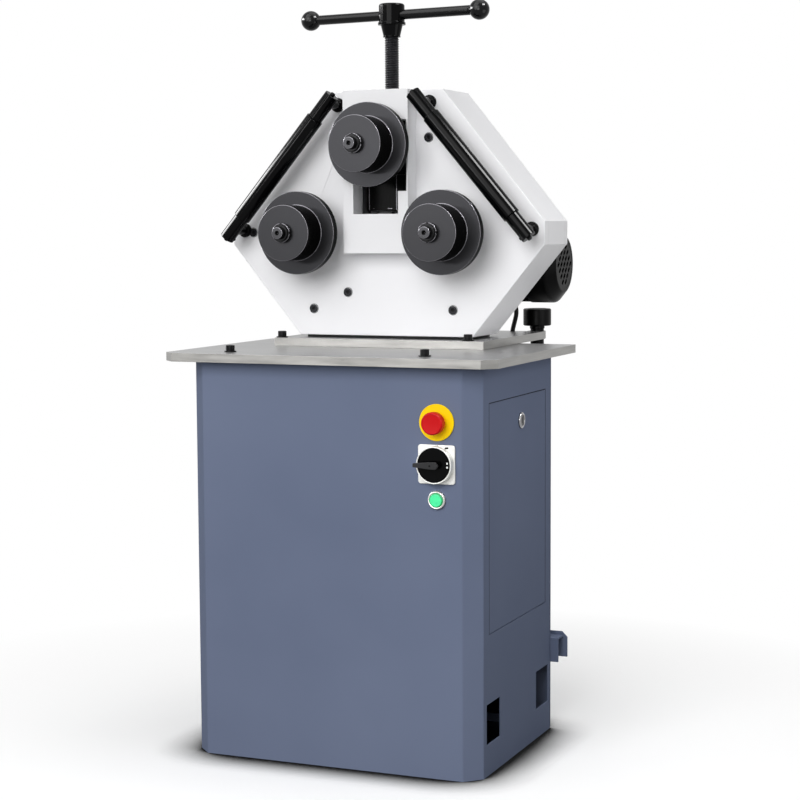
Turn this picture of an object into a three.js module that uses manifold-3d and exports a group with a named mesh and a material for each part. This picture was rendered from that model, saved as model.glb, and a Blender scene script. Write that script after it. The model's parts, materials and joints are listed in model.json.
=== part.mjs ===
// Motor-driven ring roller on a sheet steel cabinet, in millimetres with +Z up.
// The origin is the middle of the cabinet's underside, +X is the operator's right and the rollers face -Y.
// The head holds two geared lower rollers and an idle upper roller, which a hand screw presses down.
import * as THREE from 'three';
import { mergeVertices } from 'three/addons/utils/BufferGeometryUtils.js';
import Module from 'manifold-3d';

const wasm = await Module();
wasm.setup();

// Clearances and fineness shared by all pieces
const seat = 0.3;
const running = 0.4;
const overrun = 1;
const weld = 1e-4;
const fineSides = 28;
const plainSides = 16;
const smallSides = 10;
const cornerSteps = 4;

// Cabinet of folded sheet, with chamfered front corners
const cabinet = {
  width: 524, depth: 374, height: 677.2, sheet: 2, chamfer: 27,
  topFlange: 34, backFlange: 24, panStep: 18,
};
// Square cut-outs low in both sides
const vent = { wide: 66, high: 67, bottom: 53, frontInset: 41, backInset: 15 };
// Lift-off service panel in the right side, on a frame strip
const panel = {
  frontInset: 54, backInset: 32, bottom: 236, topGap: 62.2, gap: 1, ledge: 14, frameMargin: 18,
};
panel.front = panel.frontInset - cabinet.depth / 2;
panel.back = cabinet.depth / 2 - panel.backInset;
panel.top = cabinet.height - panel.topGap;
const lock = {
  fromFront: 157, belowTop: 41.4, ringRadius: 14, ringProud: 3.4, coreRadius: 9.5, camReach: 36,
  camWidth: 14, camThick: 3, camDrop: 8, slotWide: 2.4, slotLong: 11, slotDeep: 2,
};
// Bent cord bracket on the back of the cabinet
const bracket = {
  sheet: 3, pastSide: 14, width: 73, bottom: 121, shelf: 165, reach: 34, lipPast: 7, lipBottom: 125,
  lipTop: 171, lipCorner: 10,
};
// Operator controls in a column on the front
const controls = { fromSide: 69.6, stemRadius: 11, stemLength: 22, boxWide: 76, boxDeep: 92, boxMargin: 46 };
controls.x = cabinet.width / 2 - controls.fromSide;
const estop = {
  topGap: 59.2, discRadius: 30, discThick: 3, headRadius: 18.5, headFrom: 10.5, headProud: 26, crown: 4,
  waist: 11.5, stemRadius: 8, travel: 4,
};
estop.height = cabinet.height - estop.topGap - estop.discRadius;
const selector = {
  topGap: 6, plate: 64, plateCorner: 5, plateThick: 3.7, dialRadius: 28, dialThick: 11, lever: 12,
  leverProud: 10, leverLeft: 33, leverRight: 12, leverTip: 7, pinRadius: 4,
};
selector.height = estop.height - estop.discRadius - selector.topGap - selector.plate / 2;
const start = {
  topGap: 11, bezelRadius: 15, bezelProud: 6, capRadius: 11.5, capProud: 1.7, capThick: 3.4, pinRadius: 4,
  travel: 3,
};
start.height = selector.height - selector.plate / 2 - start.topGap - start.bezelRadius;
// Table plate on the cabinet, with two visible screws
const table = {
  width: 600, front: -216, back: 210, thick: 14.5, chamfer: 22, screwX: 160.6, leftScrewX: -195, screwY: -160,
};
const capScrew = {
  headRadius: 7.6, headHigh: 9.5, washerRadius: 10.4, washerThick: 1.8, shankRadius: 5, holeRadius: 5.6,
  socketRadius: 4.6, socketDeep: 5, socketSides: 6,
};
const clamp = { leftX: -188, rightX: 166, fromFront: 11, slotRadius: 6.6 };
// Hinge behind the table, which lets the whole head tilt back
const hinge = {
  y: 220, belowPlate: 10.3, radius: 9, pinRadius: 5, x: 130, headKnuckle: 34, tableKnuckle: 18, lugHalf: 4,
  pinPast: 4, headRadius: 7.5, headThick: 4,
};
// Base plate of the head and the stop screw in its ear
const base = { width: 396, front: 14, back: 346, thick: 14 };
const stop = {
  x: 177, y: 362, earRadius: 16, earRoot: 10, postRadius: 12.6, knobRadius: 26, knobFrom: 23.7, knobHigh: 32,
  knobBevel: 2.6, tipGap: 0.6,
};
// Rollers and their shafts
const roller = {
  lowerX: 135, lowerZ: 199.7, upperZ: 349.7, discRadius: 72, discBack: -12, discThick: 12, rimGroove: 1.2,
  rimGrooveDeep: 1.6, radius: 48, front: -76, edge: 1.2,
};
const shaft = {
  radius: 15, tipRadius: 10, front: -99, stepFrom: -72, collarRadius: 25, tipBevel: 1.4, centreRadius: 3,
  centreDeep: 7, back: 184, upperBack: 121,
};
const rollerNut = { radius: 16.75, thick: 8, ringRadius: 14, ringThick: 4, bevel: 1 };
const bearing = { radius: 23 };
// Gear train between the plates
const gear = {
  module: 6, teeth: 40, thick: 25, back: 150, pressure: 20, backlash: 0.5, addendum: 1, dedendum: 1.25,
};
const pinion = { teeth: 18, drop: 109.8, extra: 3, shaftRadius: 13, front: 118, back: 232 };
// Head casing: outline heights are measured from the underside of the base plate
const casing = {
  front: 50.8, back: 175.8, topHalf: 110.7, gearRoom: 30.2, footHalf: 164.3, foot: 18.7, wideFrom: 178.1,
  wideTo: 217.7, top: 444.7, frontThick: 20, rearThick: 15, wall: 4, spindleHole: 17,
};
const gearTip = gear.module * (gear.teeth / 2 + gear.addendum);
casing.wideHalf = roller.lowerX + gearTip + casing.gearRoom + casing.wall;
const spacer = { half: 152, inset: 4 };
// Raised cover in front of the slide; its window widens to the right above the step
const cover = {
  front: 13, half: 61, wall: 3, bottom: 163.7, windowHalf: 42, windowFrom: 231.7, stepFrom: 270.7,
  windowTo: 392.7,
};
// Slideways, slide block and the screw that moves it
const way = {
  inner: 41, thick: 14.7, bottom: 206, top: 412, deep: 67, grooveFrom: 27, groove: 12, grooveDeep: 8,
};
const slide = {
  high: 102, low: 50, deep: 64, apron: 62, capThick: 6, pocketDeep: 13, capHalfWide: 26, frontGap: 1.2,
};
const handle = {
  radius: 8.5, height: 577.7, turn: 7.3, rightReach: 173, leftReach: 167.6, ballRadius: 17.6,
  neckRadius: 10.5, neckLong: 8, ballRings: 8,
};
const spindle = {
  y: 90, radius: 12.85, collarRadius: 16, collarHigh: 11.5, coneHigh: 21, coneLow: 15.5, coneTop: 19.25,
  hubBelow: 17, hubAbove: 20, hubRadius: 24.25, hubBevel: 2,
};
spindle.hubFrom = handle.height - spindle.hubBelow;
spindle.hubTo = handle.height + spindle.hubAbove;
spindle.coneFrom = spindle.hubFrom - spindle.coneHigh;
const nut = { flangeRadius: 18.5, flangeThick: 4.6, top: 440.4, bar: 26, barHalf: 75 };
// Worm gearbox and motor behind the head
const gearbox = {
  flangeHalf: 62, flangeThick: 14, flangeUp: 62, flangeDown: 58, barrelRadius: 56, wormRadius: 34,
  wormRise: 50.8, back: 296, half: 62, spigotRadius: 30, wormY: 250, coverRadius: 42, coverThick: 6,
};
const motor = {
  start: 70.3, length: 146, coreRadius: 61, finRadius: 68, fins: 18, finWide: 4, flangeRadius: 64,
  flangeThick: 9, boreRadius: 6.5, boreDeep: 22, boxWide: 60, boxFrom: 98, boxDeep: 28, boxHalfHigh: 30,
  boxSink: 12,
};
const fanCover = {
  radius: 69, faceRadius: 50, length: 50, bevel: 16, wall: 2, grilleRadius: 43, slotWide: 6.5, slotLong: 13,
  slotTurn: 35, rowGap: 10.5, columnGap: 17, rows: 7, columns: 5,
};
const fan = {
  blades: 9, bladeThick: 2, bladeLong: 20, radius: 54, hubRadius: 13, fromMotor: 10, discThick: 3,
};
const cable = {
  radius: 4, x: 138, y: 332, glandRadius: 8, glandHigh: 13, bow: 10, holeGap: 0.9, sides: 10, steps: 16,
  bowFromShare: 0.1, bowToShare: 0.8,
};
// Slanted guide bars in front of the casing, mirrored about the middle
const guide = {
  y: 1, topX: 75, topZ: 436.3, lowX: 284, lowZ: 190.7, sleeveFromShare: 0.16, sleeveToShare: 0.853,
  sleeveRadius: 15.3, endRadius: 13, coreRadius: 7, studInset: 18, studRadius: 8, bossRadius: 12.6,
  bossProud: 6,
};

// Places that follow from the sizes above
const tableTop = cabinet.height + seat + table.thick;
const headFloor = tableTop + seat;
const shellBack = cabinet.depth / 2 - cabinet.sheet - seat;
const frontWall = -cabinet.depth / 2;
const sideWall = cabinet.width / 2;
const casingFrontBack = casing.front + casing.frontThick;
const casingRearFront = casing.back - casing.rearThick;
const pinionZ = roller.lowerZ - pinion.drop;
const wormZ = pinionZ + gearbox.wormRise;
const slideFront = casing.front + slide.frontGap;
const blockTop = roller.upperZ - slide.low + slide.high;
const motorEnd = motor.start + motor.length;

// Colours and finishes
const paints = {
  cabinet: [0x5d6980, 0.55, 0.1], white: [0xeeeef0, 0.4, 0], black: [0x1a1a1c, 0.45, 0.3],
  steel: [0xa9a9ab, 0.35, 0.9], brushed: [0xb9b6b1, 0.38, 0.9], oxide: [0x2c2c30, 0.42, 0.8],
  bronze: [0xb08a4e, 0.4, 0.9], yellow: [0xf2c80f, 0.5, 0], red: [0xc9222a, 0.45, 0],
  silver: [0xd4d3d2, 0.35, 0.6], green: [0x27d07a, 0.35, 0], rubber: [0x141416, 0.75, 0],
  chrome: [0xd8d8da, 0.15, 1], grey: [0x3c4048, 0.5, 0.2],
};

function finish([color, roughness, metalness]) {
  return new THREE.MeshStandardMaterial({ color, roughness, metalness, flatShading: true });
}

// Turns a closed three.js geometry into a solid whose faces point out
function closed(geometry) {
  const bare = geometry.clone();
  bare.deleteAttribute('normal');
  bare.deleteAttribute('uv');
  const merged = mergeVertices(bare, weld);
  const spot = merged.getAttribute('position');
  const corner = (i) => new THREE.Vector3().fromBufferAttribute(spot, i);
  const faces = [];
  let volume = 0;
  for (let i = 0; i < merged.index.count; i += 3) {
    const [a, b, c] = [0, 1, 2].map((step) => merged.index.getX(i + step));
    if (a === b || b === c || c === a) continue;
    volume += corner(a).dot(corner(b).cross(corner(c)));
    faces.push([a, b, c]);
  }
  const outward = volume < 0 ? faces.map(([a, b, c]) => [a, c, b]) : faces;
  return new wasm.Manifold(new wasm.Mesh({
    numProp: 3, vertProperties: new Float32Array(spot.array), triVerts: new Uint32Array(outward.flat()),
  }));
}

function surface(solid) {
  const mesh = solid.getMesh();
  const geometry = new THREE.BufferGeometry();
  geometry.setAttribute('position', new THREE.BufferAttribute(new Float32Array(mesh.vertProperties), 3));
  geometry.setIndex(new THREE.BufferAttribute(new Uint32Array(mesh.triVerts), 1));
  return geometry;
}

function union(first, ...rest) {
  return rest.reduce((whole, next) => whole.add(next), first);
}

function cut(first, ...tools) {
  return tools.reduce((whole, tool) => whole.subtract(tool), first);
}

// An outline in the plane across an axis: Y and Z for x, X and Z for y, X and Y for z
const [unitX, unitY, unitZ] = [[1, 0, 0], [0, 1, 0], [0, 0, 1]].map((v) => new THREE.Vector3(...v));
const across = {
  x: new THREE.Matrix4().makeBasis(unitY, unitZ, unitX),
  y: new THREE.Matrix4().makeBasis(unitX, unitZ, unitY.clone().negate()),
  z: new THREE.Matrix4(),
};

function prism(outline, axis, from, to) {
  const shape = new THREE.Shape(outline.map(([a, b]) => new THREE.Vector2(a, b)));
  const geometry = new THREE.ExtrudeGeometry(shape, { depth: to - from, bevelEnabled: false });
  geometry.translate(0, 0, axis === 'y' ? -to : from);
  geometry.applyMatrix4(across[axis]);
  return closed(geometry);
}

function block([x0, x1], [y0, y1], [z0, z1]) {
  const geometry = new THREE.BoxGeometry(x1 - x0, y1 - y0, z1 - z0);
  geometry.translate((x0 + x1) / 2, (y0 + y1) / 2, (z0 + z1) / 2);
  return closed(geometry);
}

function ring(radius, [a, b], sides) {
  return Array.from({ length: sides }, (_, i) => {
    const angle = (i + 0.5) / sides * 2 * Math.PI;
    return [a + radius * Math.cos(angle), b + radius * Math.sin(angle)];
  });
}

function rod(axis, radius, from, to, centre = [0, 0], sides = plainSides) {
  return prism(ring(radius, centre, sides), axis, from, to);
}

// A profile of [radius, distance along the axis] points, revolved about the axis
function turned(profile, axis, [a, b] = [0, 0], sides = fineSides) {
  const geometry = new THREE.LatheGeometry(profile.map(([r, along]) => new THREE.Vector2(r, along)), sides);
  if (axis === 'z') geometry.rotateX(Math.PI / 2).translate(a, b, 0);
  if (axis === 'x') geometry.rotateZ(-Math.PI / 2).translate(0, a, b);
  if (axis === 'y') geometry.translate(a, 0, b);
  return closed(geometry);
}

// A round bar between two points
function bar(from, to, radius, sides = plainSides) {
  const [start, end] = [new THREE.Vector3(...from), new THREE.Vector3(...to)];
  const geometry = new THREE.CylinderGeometry(radius, radius, start.distanceTo(end), sides);
  const heading = end.clone().sub(start).normalize();
  geometry.applyQuaternion(new THREE.Quaternion().setFromUnitVectors(unitY, heading));
  geometry.translate(...start.add(end).divideScalar(2).toArray());
  return closed(geometry);
}

function rectangle(halfWide, bottom, top) {
  return [[-halfWide, bottom], [halfWide, bottom], [halfWide, top], [-halfWide, top]];
}

function rounded(half, corner, [a, b]) {
  const [steps, straight] = [cornerSteps, half - corner];
  return [[1, 1, 0], [-1, 1, 1], [-1, -1, 2], [1, -1, 3]].flatMap(([sx, sy, quarter]) =>
    Array.from({ length: steps + 1 }, (_, i) => {
      const angle = (quarter + i / steps) * Math.PI / 2;
      return [a + sx * straight + corner * Math.cos(angle), b + sy * straight + corner * Math.sin(angle)];
    }));
}

const part = new THREE.Group();

function group(parent, position = [0, 0, 0]) {
  const child = new THREE.Group();
  child.position.set(...position);
  parent.add(child);
  return child;
}

function piece(parent, name, paint, solid, position = [0, 0, 0]) {
  const mesh = new THREE.Mesh(surface(solid), finish(paints[paint]));
  mesh.name = name;
  mesh.position.set(...position);
  parent.add(mesh);
  return mesh;
}

// Cabinet
const stand = group(part);

// Plan of the cabinet shrunk by an inset, with the chamfers kept parallel
function cabinetPlan(inset) {
  const [half, front, back] = [sideWall - inset, frontWall + inset, shellBack - inset];
  const corner = cabinet.chamfer - inset * (2 - Math.SQRT2);
  return [[-half + corner, front], [half - corner, front], [half, front + corner], [half, back],
    [-half, back], [-half, front + corner]];
}

function ventCuts() {
  const starts = [frontWall + vent.frontInset, cabinet.depth / 2 - vent.backInset - vent.wide];
  return starts.map((y) => block([-sideWall - overrun, sideWall + overrun], [y, y + vent.wide],
    [vent.bottom, vent.bottom + vent.high]));
}

function cabinetShell() {
  const { sheet, height, topFlange, backFlange } = cabinet;
  const outside = prism(cabinetPlan(0), 'z', 0, height);
  const inside = prism(cabinetPlan(sheet), 'z', -overrun, height - sheet);
  const topHole = prism(cabinetPlan(topFlange), 'z', height - sheet - overrun, height + overrun);
  const half = sideWall - sheet - backFlange;
  const backHole = block([-half, half], [shellBack - sheet - overrun, shellBack + overrun],
    [-overrun, height - sheet - backFlange]);
  const panelHole = block([sideWall - sheet - overrun, sideWall + overrun],
    [panel.front - panel.gap, panel.back + panel.gap], [panel.bottom - panel.gap, panel.top + panel.gap]);
  const holes = [estop, selector, start].map(({ height: z }) => rod('y', controls.stemRadius + running,
    frontWall - overrun, frontWall + sheet + overrun, [controls.x, z]));
  const screws = [table.leftScrewX, table.screwX].map((x) => rod('z', capScrew.holeRadius,
    height - sheet - overrun, height + overrun, [x, table.screwY], smallSides));
  return cut(outside, inside, topHole, backHole, panelHole, ...ventCuts(), ...holes, ...screws);
}

function floorPan() {
  const { sheet, panStep } = cabinet;
  const tray = prism(cabinetPlan(sheet + seat), 'z', 0, panStep);
  return cut(tray, prism(cabinetPlan(2 * sheet + seat), 'z', sheet, panStep + overrun));
}

piece(stand, 'cabinet_shell', 'cabinet', cabinetShell());
piece(stand, 'floor_pan', 'cabinet', floorPan());
piece(stand, 'back_panel', 'cabinet', block([-sideWall, sideWall],
  [cabinet.depth / 2 - cabinet.sheet, cabinet.depth / 2], [cabinet.sheet, cabinet.height - cabinet.sheet]));

function panelBorder(margin) {
  return [[panel.front - margin, panel.bottom - margin], [panel.back + margin, panel.bottom - margin],
    [panel.back + margin, panel.top + margin], [panel.front - margin, panel.top + margin]];
}

const frameBack = sideWall - 2 * cabinet.sheet - seat;
piece(stand, 'panel_frame', 'cabinet', cut(
  prism(panelBorder(panel.frameMargin), 'x', frameBack, frameBack + cabinet.sheet),
  prism(panelBorder(-panel.ledge), 'x', frameBack - overrun, frameBack + cabinet.sheet + overrun),
));

function cordBracket() {
  const { sheet, width, reach, shelf, lipCorner, lipTop } = bracket;
  const right = sideWall + bracket.pastSide;
  const lipRight = right + bracket.lipPast;
  const left = right - width;
  const wall = cabinet.depth / 2 + seat;
  const mountLeg = block([left, right], [wall, wall + sheet], [bracket.bottom, shelf]);
  const shelfLeg = block([left, right], [wall, wall + reach], [shelf - sheet, shelf]);
  const lip = prism([[left, bracket.lipBottom], [lipRight, bracket.lipBottom], [lipRight, lipTop - lipCorner],
    [lipRight - lipCorner, lipTop], [left, lipTop]], 'y', wall + reach - sheet, wall + reach);
  return union(mountLeg, shelfLeg, lip);
}
piece(stand, 'cable_hook', 'cabinet', cordBracket());

// Service panel with its lock
const lockY = panel.front + lock.fromFront;
const lockZ = panel.top - lock.belowTop;
const door = group(part, [sideWall, 0, 0]);
piece(door, 'service_panel', 'cabinet', cut(
  prism(panelBorder(0), 'x', -cabinet.sheet, 0),
  rod('x', lock.coreRadius + running, -cabinet.sheet - overrun, overrun, [lockY, lockZ]),
));

function lockCore() {
  const {
    ringRadius, ringProud, coreRadius, camReach, camWidth, camThick, camDrop, slotWide, slotLong,
  } = lock;
  const face = seat + ringProud;
  const ringPlate = turned([[0, seat], [ringRadius, seat], [ringRadius, face - overrun],
    [ringRadius - overrun, face], [0, face]], 'x', [0, 0], plainSides);
  const core = rod('x', coreRadius, -camDrop - camThick, face - overrun);
  const cam = block([-camDrop - camThick, -camDrop], [-camReach, camWidth / 2],
    [-camWidth / 2, camWidth / 2]);
  const slot = block([face - lock.slotDeep, face + overrun], [-slotWide / 2, slotWide / 2],
    [-slotLong / 2, slotLong / 2]);
  return cut(union(ringPlate, core, cam), slot);
}
piece(door, 'panel_lock', 'chrome', lockCore(), [0, lockY, lockZ]);

// Controls on the front, each in its own frame with the cabinet's front at y 0
function controlFrame(height) {
  return group(part, [controls.x, frontWall, height]);
}

const estopFrame = controlFrame(estop.height);
const discFront = -seat - estop.discThick;
piece(estopFrame, 'estop_base', 'yellow', cut(
  union(rod('y', estop.discRadius, discFront, -seat, [0, 0], fineSides),
    rod('y', controls.stemRadius, -seat - estop.discThick / 2, controls.stemLength)),
  rod('y', estop.stemRadius + running, discFront - overrun, controls.stemLength - overrun),
));
piece(estopFrame, 'estop_button', 'red', turned([
  [0, -estop.headProud], [estop.headRadius - estop.crown, -estop.headProud + overrun],
  [estop.headRadius - overrun, -estop.headProud + estop.crown / 2],
  [estop.headRadius, -estop.headProud + estop.crown], [estop.headRadius, -estop.headFrom - overrun],
  [estop.headRadius - overrun, -estop.headFrom], [estop.waist, -estop.headFrom],
  [estop.stemRadius, -estop.headFrom + overrun],
  [estop.stemRadius, controls.stemLength - estop.travel - 2 * overrun],
  [0, controls.stemLength - estop.travel - 2 * overrun],
], 'y', [0, 0], fineSides));

const selectorFrame = controlFrame(selector.height);
const plateFront = -seat - selector.plateThick;
piece(selectorFrame, 'selector_plate', 'silver', cut(
  union(prism(rounded(selector.plate / 2, selector.plateCorner, [0, 0]), 'y', plateFront, -seat),
    rod('y', controls.stemRadius, -seat - selector.plateThick / 2, controls.stemLength)),
  rod('y', selector.pinRadius + running, plateFront - overrun, controls.stemLength - overrun),
));

function selectorDial() {
  const { dialRadius, dialThick, lever, leverProud, leverLeft, leverRight, leverTip, pinRadius } = selector;
  const back = plateFront - running;
  const face = back - dialThick;
  const dial = turned([[0, back], [dialRadius, back], [dialRadius, face + overrun],
    [dialRadius - overrun, face], [0, face]], 'y');
  const grip = prism([[-leverLeft, -leverTip / 2], [-leverLeft, leverTip / 2], [0, lever / 2],
    [leverRight, lever / 2], [leverRight + leverTip, 0], [leverRight, -lever / 2], [0, -lever / 2]], 'y',
  face - leverProud, face + overrun);
  const pin = rod('y', pinRadius, back - overrun, controls.stemLength - 2 * overrun);
  return union(dial, grip, pin);
}
piece(selectorFrame, 'selector_dial', 'black', selectorDial());

const startFrame = controlFrame(start.height);
const bezelFront = -seat - start.bezelProud;
const pocketFloor = bezelFront + start.capThick - start.capProud + start.travel + seat;
piece(startFrame, 'button_bezel', 'silver', cut(
  union(rod('y', start.bezelRadius, bezelFront, -seat, [0, 0], fineSides),
    rod('y', controls.stemRadius, -seat - start.bezelProud / 2, controls.stemLength)),
  rod('y', start.capRadius + running, bezelFront - overrun, pocketFloor),
  rod('y', start.pinRadius + running, bezelFront - overrun, controls.stemLength - overrun),
));
const capFront = bezelFront - start.capProud;
piece(startFrame, 'start_button', 'green', union(
  turned([[0, capFront], [start.capRadius - overrun, capFront], [start.capRadius, capFront + overrun],
    [start.capRadius, capFront + start.capThick], [0, capFront + start.capThick]], 'y'),
  rod('y', start.pinRadius, capFront + overrun, controls.stemLength - start.travel - 2 * overrun),
));

function controlBox() {
  const front = frontWall + cabinet.sheet + seat;
  const box = block([controls.x - controls.boxWide / 2, controls.x + controls.boxWide / 2],
    [front, front + controls.boxDeep],
    [start.height - controls.boxMargin, estop.height + controls.boxMargin]);
  const wells = [estop, selector, start].map(({ height }) => rod('y', controls.stemRadius + running,
    front - overrun, frontWall + controls.stemLength + seat, [controls.x, height]));
  return cut(box, ...wells);
}
piece(stand, 'control_box', 'grey', controlBox());

// Screw with a washer; the origin is where the washer seats and the shank goes down
function washerScrew(shankLong) {
  const { headRadius, headHigh, washerRadius, washerThick, shankRadius, socketRadius, socketDeep } = capScrew;
  const top = seat + washerThick + headHigh;
  const washer = rod('z', washerRadius, seat, seat + washerThick);
  const head = turned([[0, seat], [headRadius, seat], [headRadius, top - overrun], [headRadius - overrun, top],
    [0, top]], 'z', [0, 0], plainSides);
  const shank = rod('z', shankRadius, -shankLong, seat + overrun, [0, 0], smallSides);
  return cut(union(washer, head, shank),
    prism(ring(socketRadius, [0, 0], capScrew.socketSides), 'z', top - socketDeep, top + overrun));
}

// Table plate with hinge knuckles behind it
const hingeZ = headFloor - hinge.belowPlate;

function tablePlate() {
  const { width, front, back, thick, chamfer, screwY } = table;
  const half = width / 2;
  const bottom = tableTop - thick;
  const plate = prism([[-half + chamfer, front], [half - chamfer, front], [half, front + chamfer], [half, back],
    [-half, back], [-half, front + chamfer]], 'z', bottom, tableTop);
  const screws = [table.leftScrewX, table.screwX].map((x) =>
    rod('z', capScrew.holeRadius, bottom - overrun, tableTop + overrun, [x, screwY], smallSides));
  const clamps = [clamp.leftX, clamp.rightX].map((x) => rod('z', clamp.slotRadius, bottom - overrun,
    tableTop + overrun, [x, base.front + clamp.fromFront]));
  const knuckles = [-hinge.x, hinge.x].flatMap((x) => [-1, 1].map((side) => {
    const inner = x + side * (hinge.headKnuckle / 2 + running);
    const outer = inner + side * hinge.tableKnuckle;
    const [from, to] = [Math.min(inner, outer), Math.max(inner, outer)];
    return union(rod('x', hinge.radius, from, to, [hinge.y, hingeZ], smallSides),
      block([from, to], [back - overrun, hinge.y], [hingeZ - hinge.lugHalf, hingeZ + hinge.lugHalf]));
  }));
  const pinHole = rod('x', hinge.pinRadius + seat, -half, half, [hinge.y, hingeZ], smallSides);
  return cut(cut(union(plate, ...knuckles), pinHole), ...screws, ...clamps);
}
piece(stand, 'table_plate', 'brushed', tablePlate());

const screwReach = table.thick + cabinet.sheet + seat;
piece(stand, 'table_screw_left', 'oxide', washerScrew(screwReach),
  [table.leftScrewX, table.screwY, tableTop]);
piece(stand, 'table_screw_right', 'oxide', washerScrew(screwReach), [table.screwX, table.screwY, tableTop]);

const pinEnd = hinge.x + hinge.headKnuckle / 2 + running + hinge.tableKnuckle + hinge.pinPast;
piece(stand, 'hinge_rod', 'steel', union(
  rod('x', hinge.pinRadius, -pinEnd, pinEnd, [hinge.y, hingeZ], smallSides),
  rod('x', hinge.headRadius, pinEnd, pinEnd + hinge.headThick, [hinge.y, hingeZ], smallSides),
));

// Head
const head = group(part, [0, 0, headFloor]);

function basePlate() {
  const half = base.width / 2;
  const plate = block([-half, half], [base.front, base.back], [0, base.thick]);
  const ear = union(rod('z', stop.earRadius, 0, base.thick, [stop.x, stop.y]),
    block([stop.x - stop.earRadius, stop.x + stop.earRadius], [base.back - stop.earRoot, stop.y],
      [0, base.thick]));
  const knuckles = [-hinge.x, hinge.x].map((x) => union(
    rod('x', hinge.radius, x - hinge.headKnuckle / 2, x + hinge.headKnuckle / 2, [hinge.y, -hinge.belowPlate],
      smallSides),
    block([x - hinge.headKnuckle / 2, x + hinge.headKnuckle / 2],
      [hinge.y - hinge.lugHalf, hinge.y + hinge.lugHalf], [-hinge.belowPlate, overrun]),
  ));
  const pinHole = rod('x', hinge.pinRadius + running, -half, half, [hinge.y, -hinge.belowPlate], smallSides);
  const stopHole = rod('z', stop.postRadius + running, -overrun, base.thick + overrun, [stop.x, stop.y]);
  const clamps = [clamp.leftX, clamp.rightX].map((x) => rod('z', capScrew.holeRadius, -overrun,
    base.thick + overrun, [x, base.front + clamp.fromFront], smallSides));
  const cordHole = rod('z', cable.radius + cable.holeGap, -overrun, base.thick + overrun,
    [cable.x, cable.y], smallSides);
  return cut(union(plate, ear, ...knuckles), pinHole, stopHole, cordHole, ...clamps);
}
piece(head, 'base_plate', 'brushed', basePlate());
const clampReach = base.thick + table.thick - seat;
piece(head, 'clamp_screw_left', 'oxide', washerScrew(clampReach),
  [clamp.leftX, base.front + clamp.fromFront, base.thick]);
piece(head, 'clamp_screw_right', 'oxide', washerScrew(clampReach),
  [clamp.rightX, base.front + clamp.fromFront, base.thick]);

function stopScrew() {
  const { postRadius, knobRadius, knobFrom, knobHigh, knobBevel } = stop;
  const tip = cabinet.depth / 2 + stop.tipGap - hinge.y - hinge.belowPlate;
  const top = knobFrom + knobHigh;
  const post = rod('z', postRadius, tip, knobFrom + overrun);
  const knob = turned([[0, knobFrom], [knobRadius - knobBevel, knobFrom], [knobRadius, knobFrom + knobBevel],
    [knobRadius, top - knobBevel], [knobRadius - knobBevel, top], [0, top]], 'z');
  return union(post, knob);
}
piece(head, 'stop_screw', 'black', stopScrew(), [stop.x, stop.y, 0]);

// Casing of thick front and rear plates with a wrapped cover between them
function casingOutline(inset) {
  const { topHalf, wideHalf, footHalf, foot, wideFrom, wideTo, top } = casing;
  const upper = Math.atan2(top - wideTo, wideHalf - topHalf);
  const lower = Math.atan2(wideFrom - foot, wideHalf - footHalf);
  const topX = topHalf - inset * (1 - Math.cos(upper)) / Math.sin(upper);
  const footX = footHalf - inset * (1 - Math.cos(lower)) / Math.sin(lower);
  const upperZ = wideTo - inset * (1 - Math.sin(upper)) / Math.cos(upper);
  const lowerZ = wideFrom + inset * (1 - Math.sin(lower)) / Math.cos(lower);
  const side = wideHalf - inset;
  const right = [[footX, foot + inset], [side, lowerZ], [side, upperZ], [topX, top - inset]];
  return [...right, ...right.map(([x, z]) => [-x, z]).reverse()];
}

const lowerSpots = [[-roller.lowerX, roller.lowerZ], [roller.lowerX, roller.lowerZ]];

function frontPlate() {
  const plate = prism(casingOutline(0), 'y', casing.front, casingFrontBack);
  const wayHole = block([-way.inner - way.thick - seat, way.inner + way.thick + seat],
    [casing.front - overrun, casingFrontBack + overrun], [way.bottom - seat, way.top + seat]);
  const bores = lowerSpots.map((spot) =>
    rod('y', bearing.radius + seat, casing.front - overrun, casingFrontBack + overrun, spot));
  return cut(plate, wayHole, ...bores);
}

function rearPlate() {
  const plate = prism(casingOutline(0), 'y', casingRearFront, casing.back);
  const bores = lowerSpots.map((spot) =>
    rod('y', bearing.radius + seat, casingRearFront - overrun, casing.back + overrun, spot));
  const spigotHole = rod('y', gearbox.spigotRadius + seat, casingRearFront - overrun, casing.back + overrun,
    [0, pinionZ]);
  return cut(plate, spigotHole, ...bores);
}

piece(head, 'front_plate', 'white', frontPlate());
piece(head, 'rear_plate', 'white', rearPlate());
piece(head, 'side_cover', 'white', cut(
  prism(casingOutline(0), 'y', casingFrontBack + seat, casingRearFront - seat),
  prism(casingOutline(casing.wall), 'y', casingFrontBack, casingRearFront),
  rod('z', casing.spindleHole, casing.top - casing.wall - overrun, casing.top + overrun, [0, spindle.y]),
));
piece(head, 'head_spacer', 'black', block([-spacer.half, spacer.half],
  [casing.front + spacer.inset, casing.back - spacer.inset], [base.thick + seat, casing.foot - seat]));

function centreCover() {
  const { front, half, wall, bottom, windowHalf, windowFrom, stepFrom, windowTo } = cover;
  const back = casing.front - seat;
  const opening = [[-windowHalf, windowFrom], [windowHalf, windowFrom], [windowHalf, stepFrom],
    [half - wall, stepFrom], [half - wall, windowTo], [-windowHalf, windowTo]];
  return cut(prism(rectangle(half, bottom, casing.top), 'y', front, back),
    prism(opening, 'y', front - overrun, back + overrun));
}
piece(head, 'centre_cover', 'white', centreCover());

// Slideways with a groove for the slide's tongues
const wayFront = casing.front + seat;
const grooveFront = wayFront + way.grooveFrom;

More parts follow.
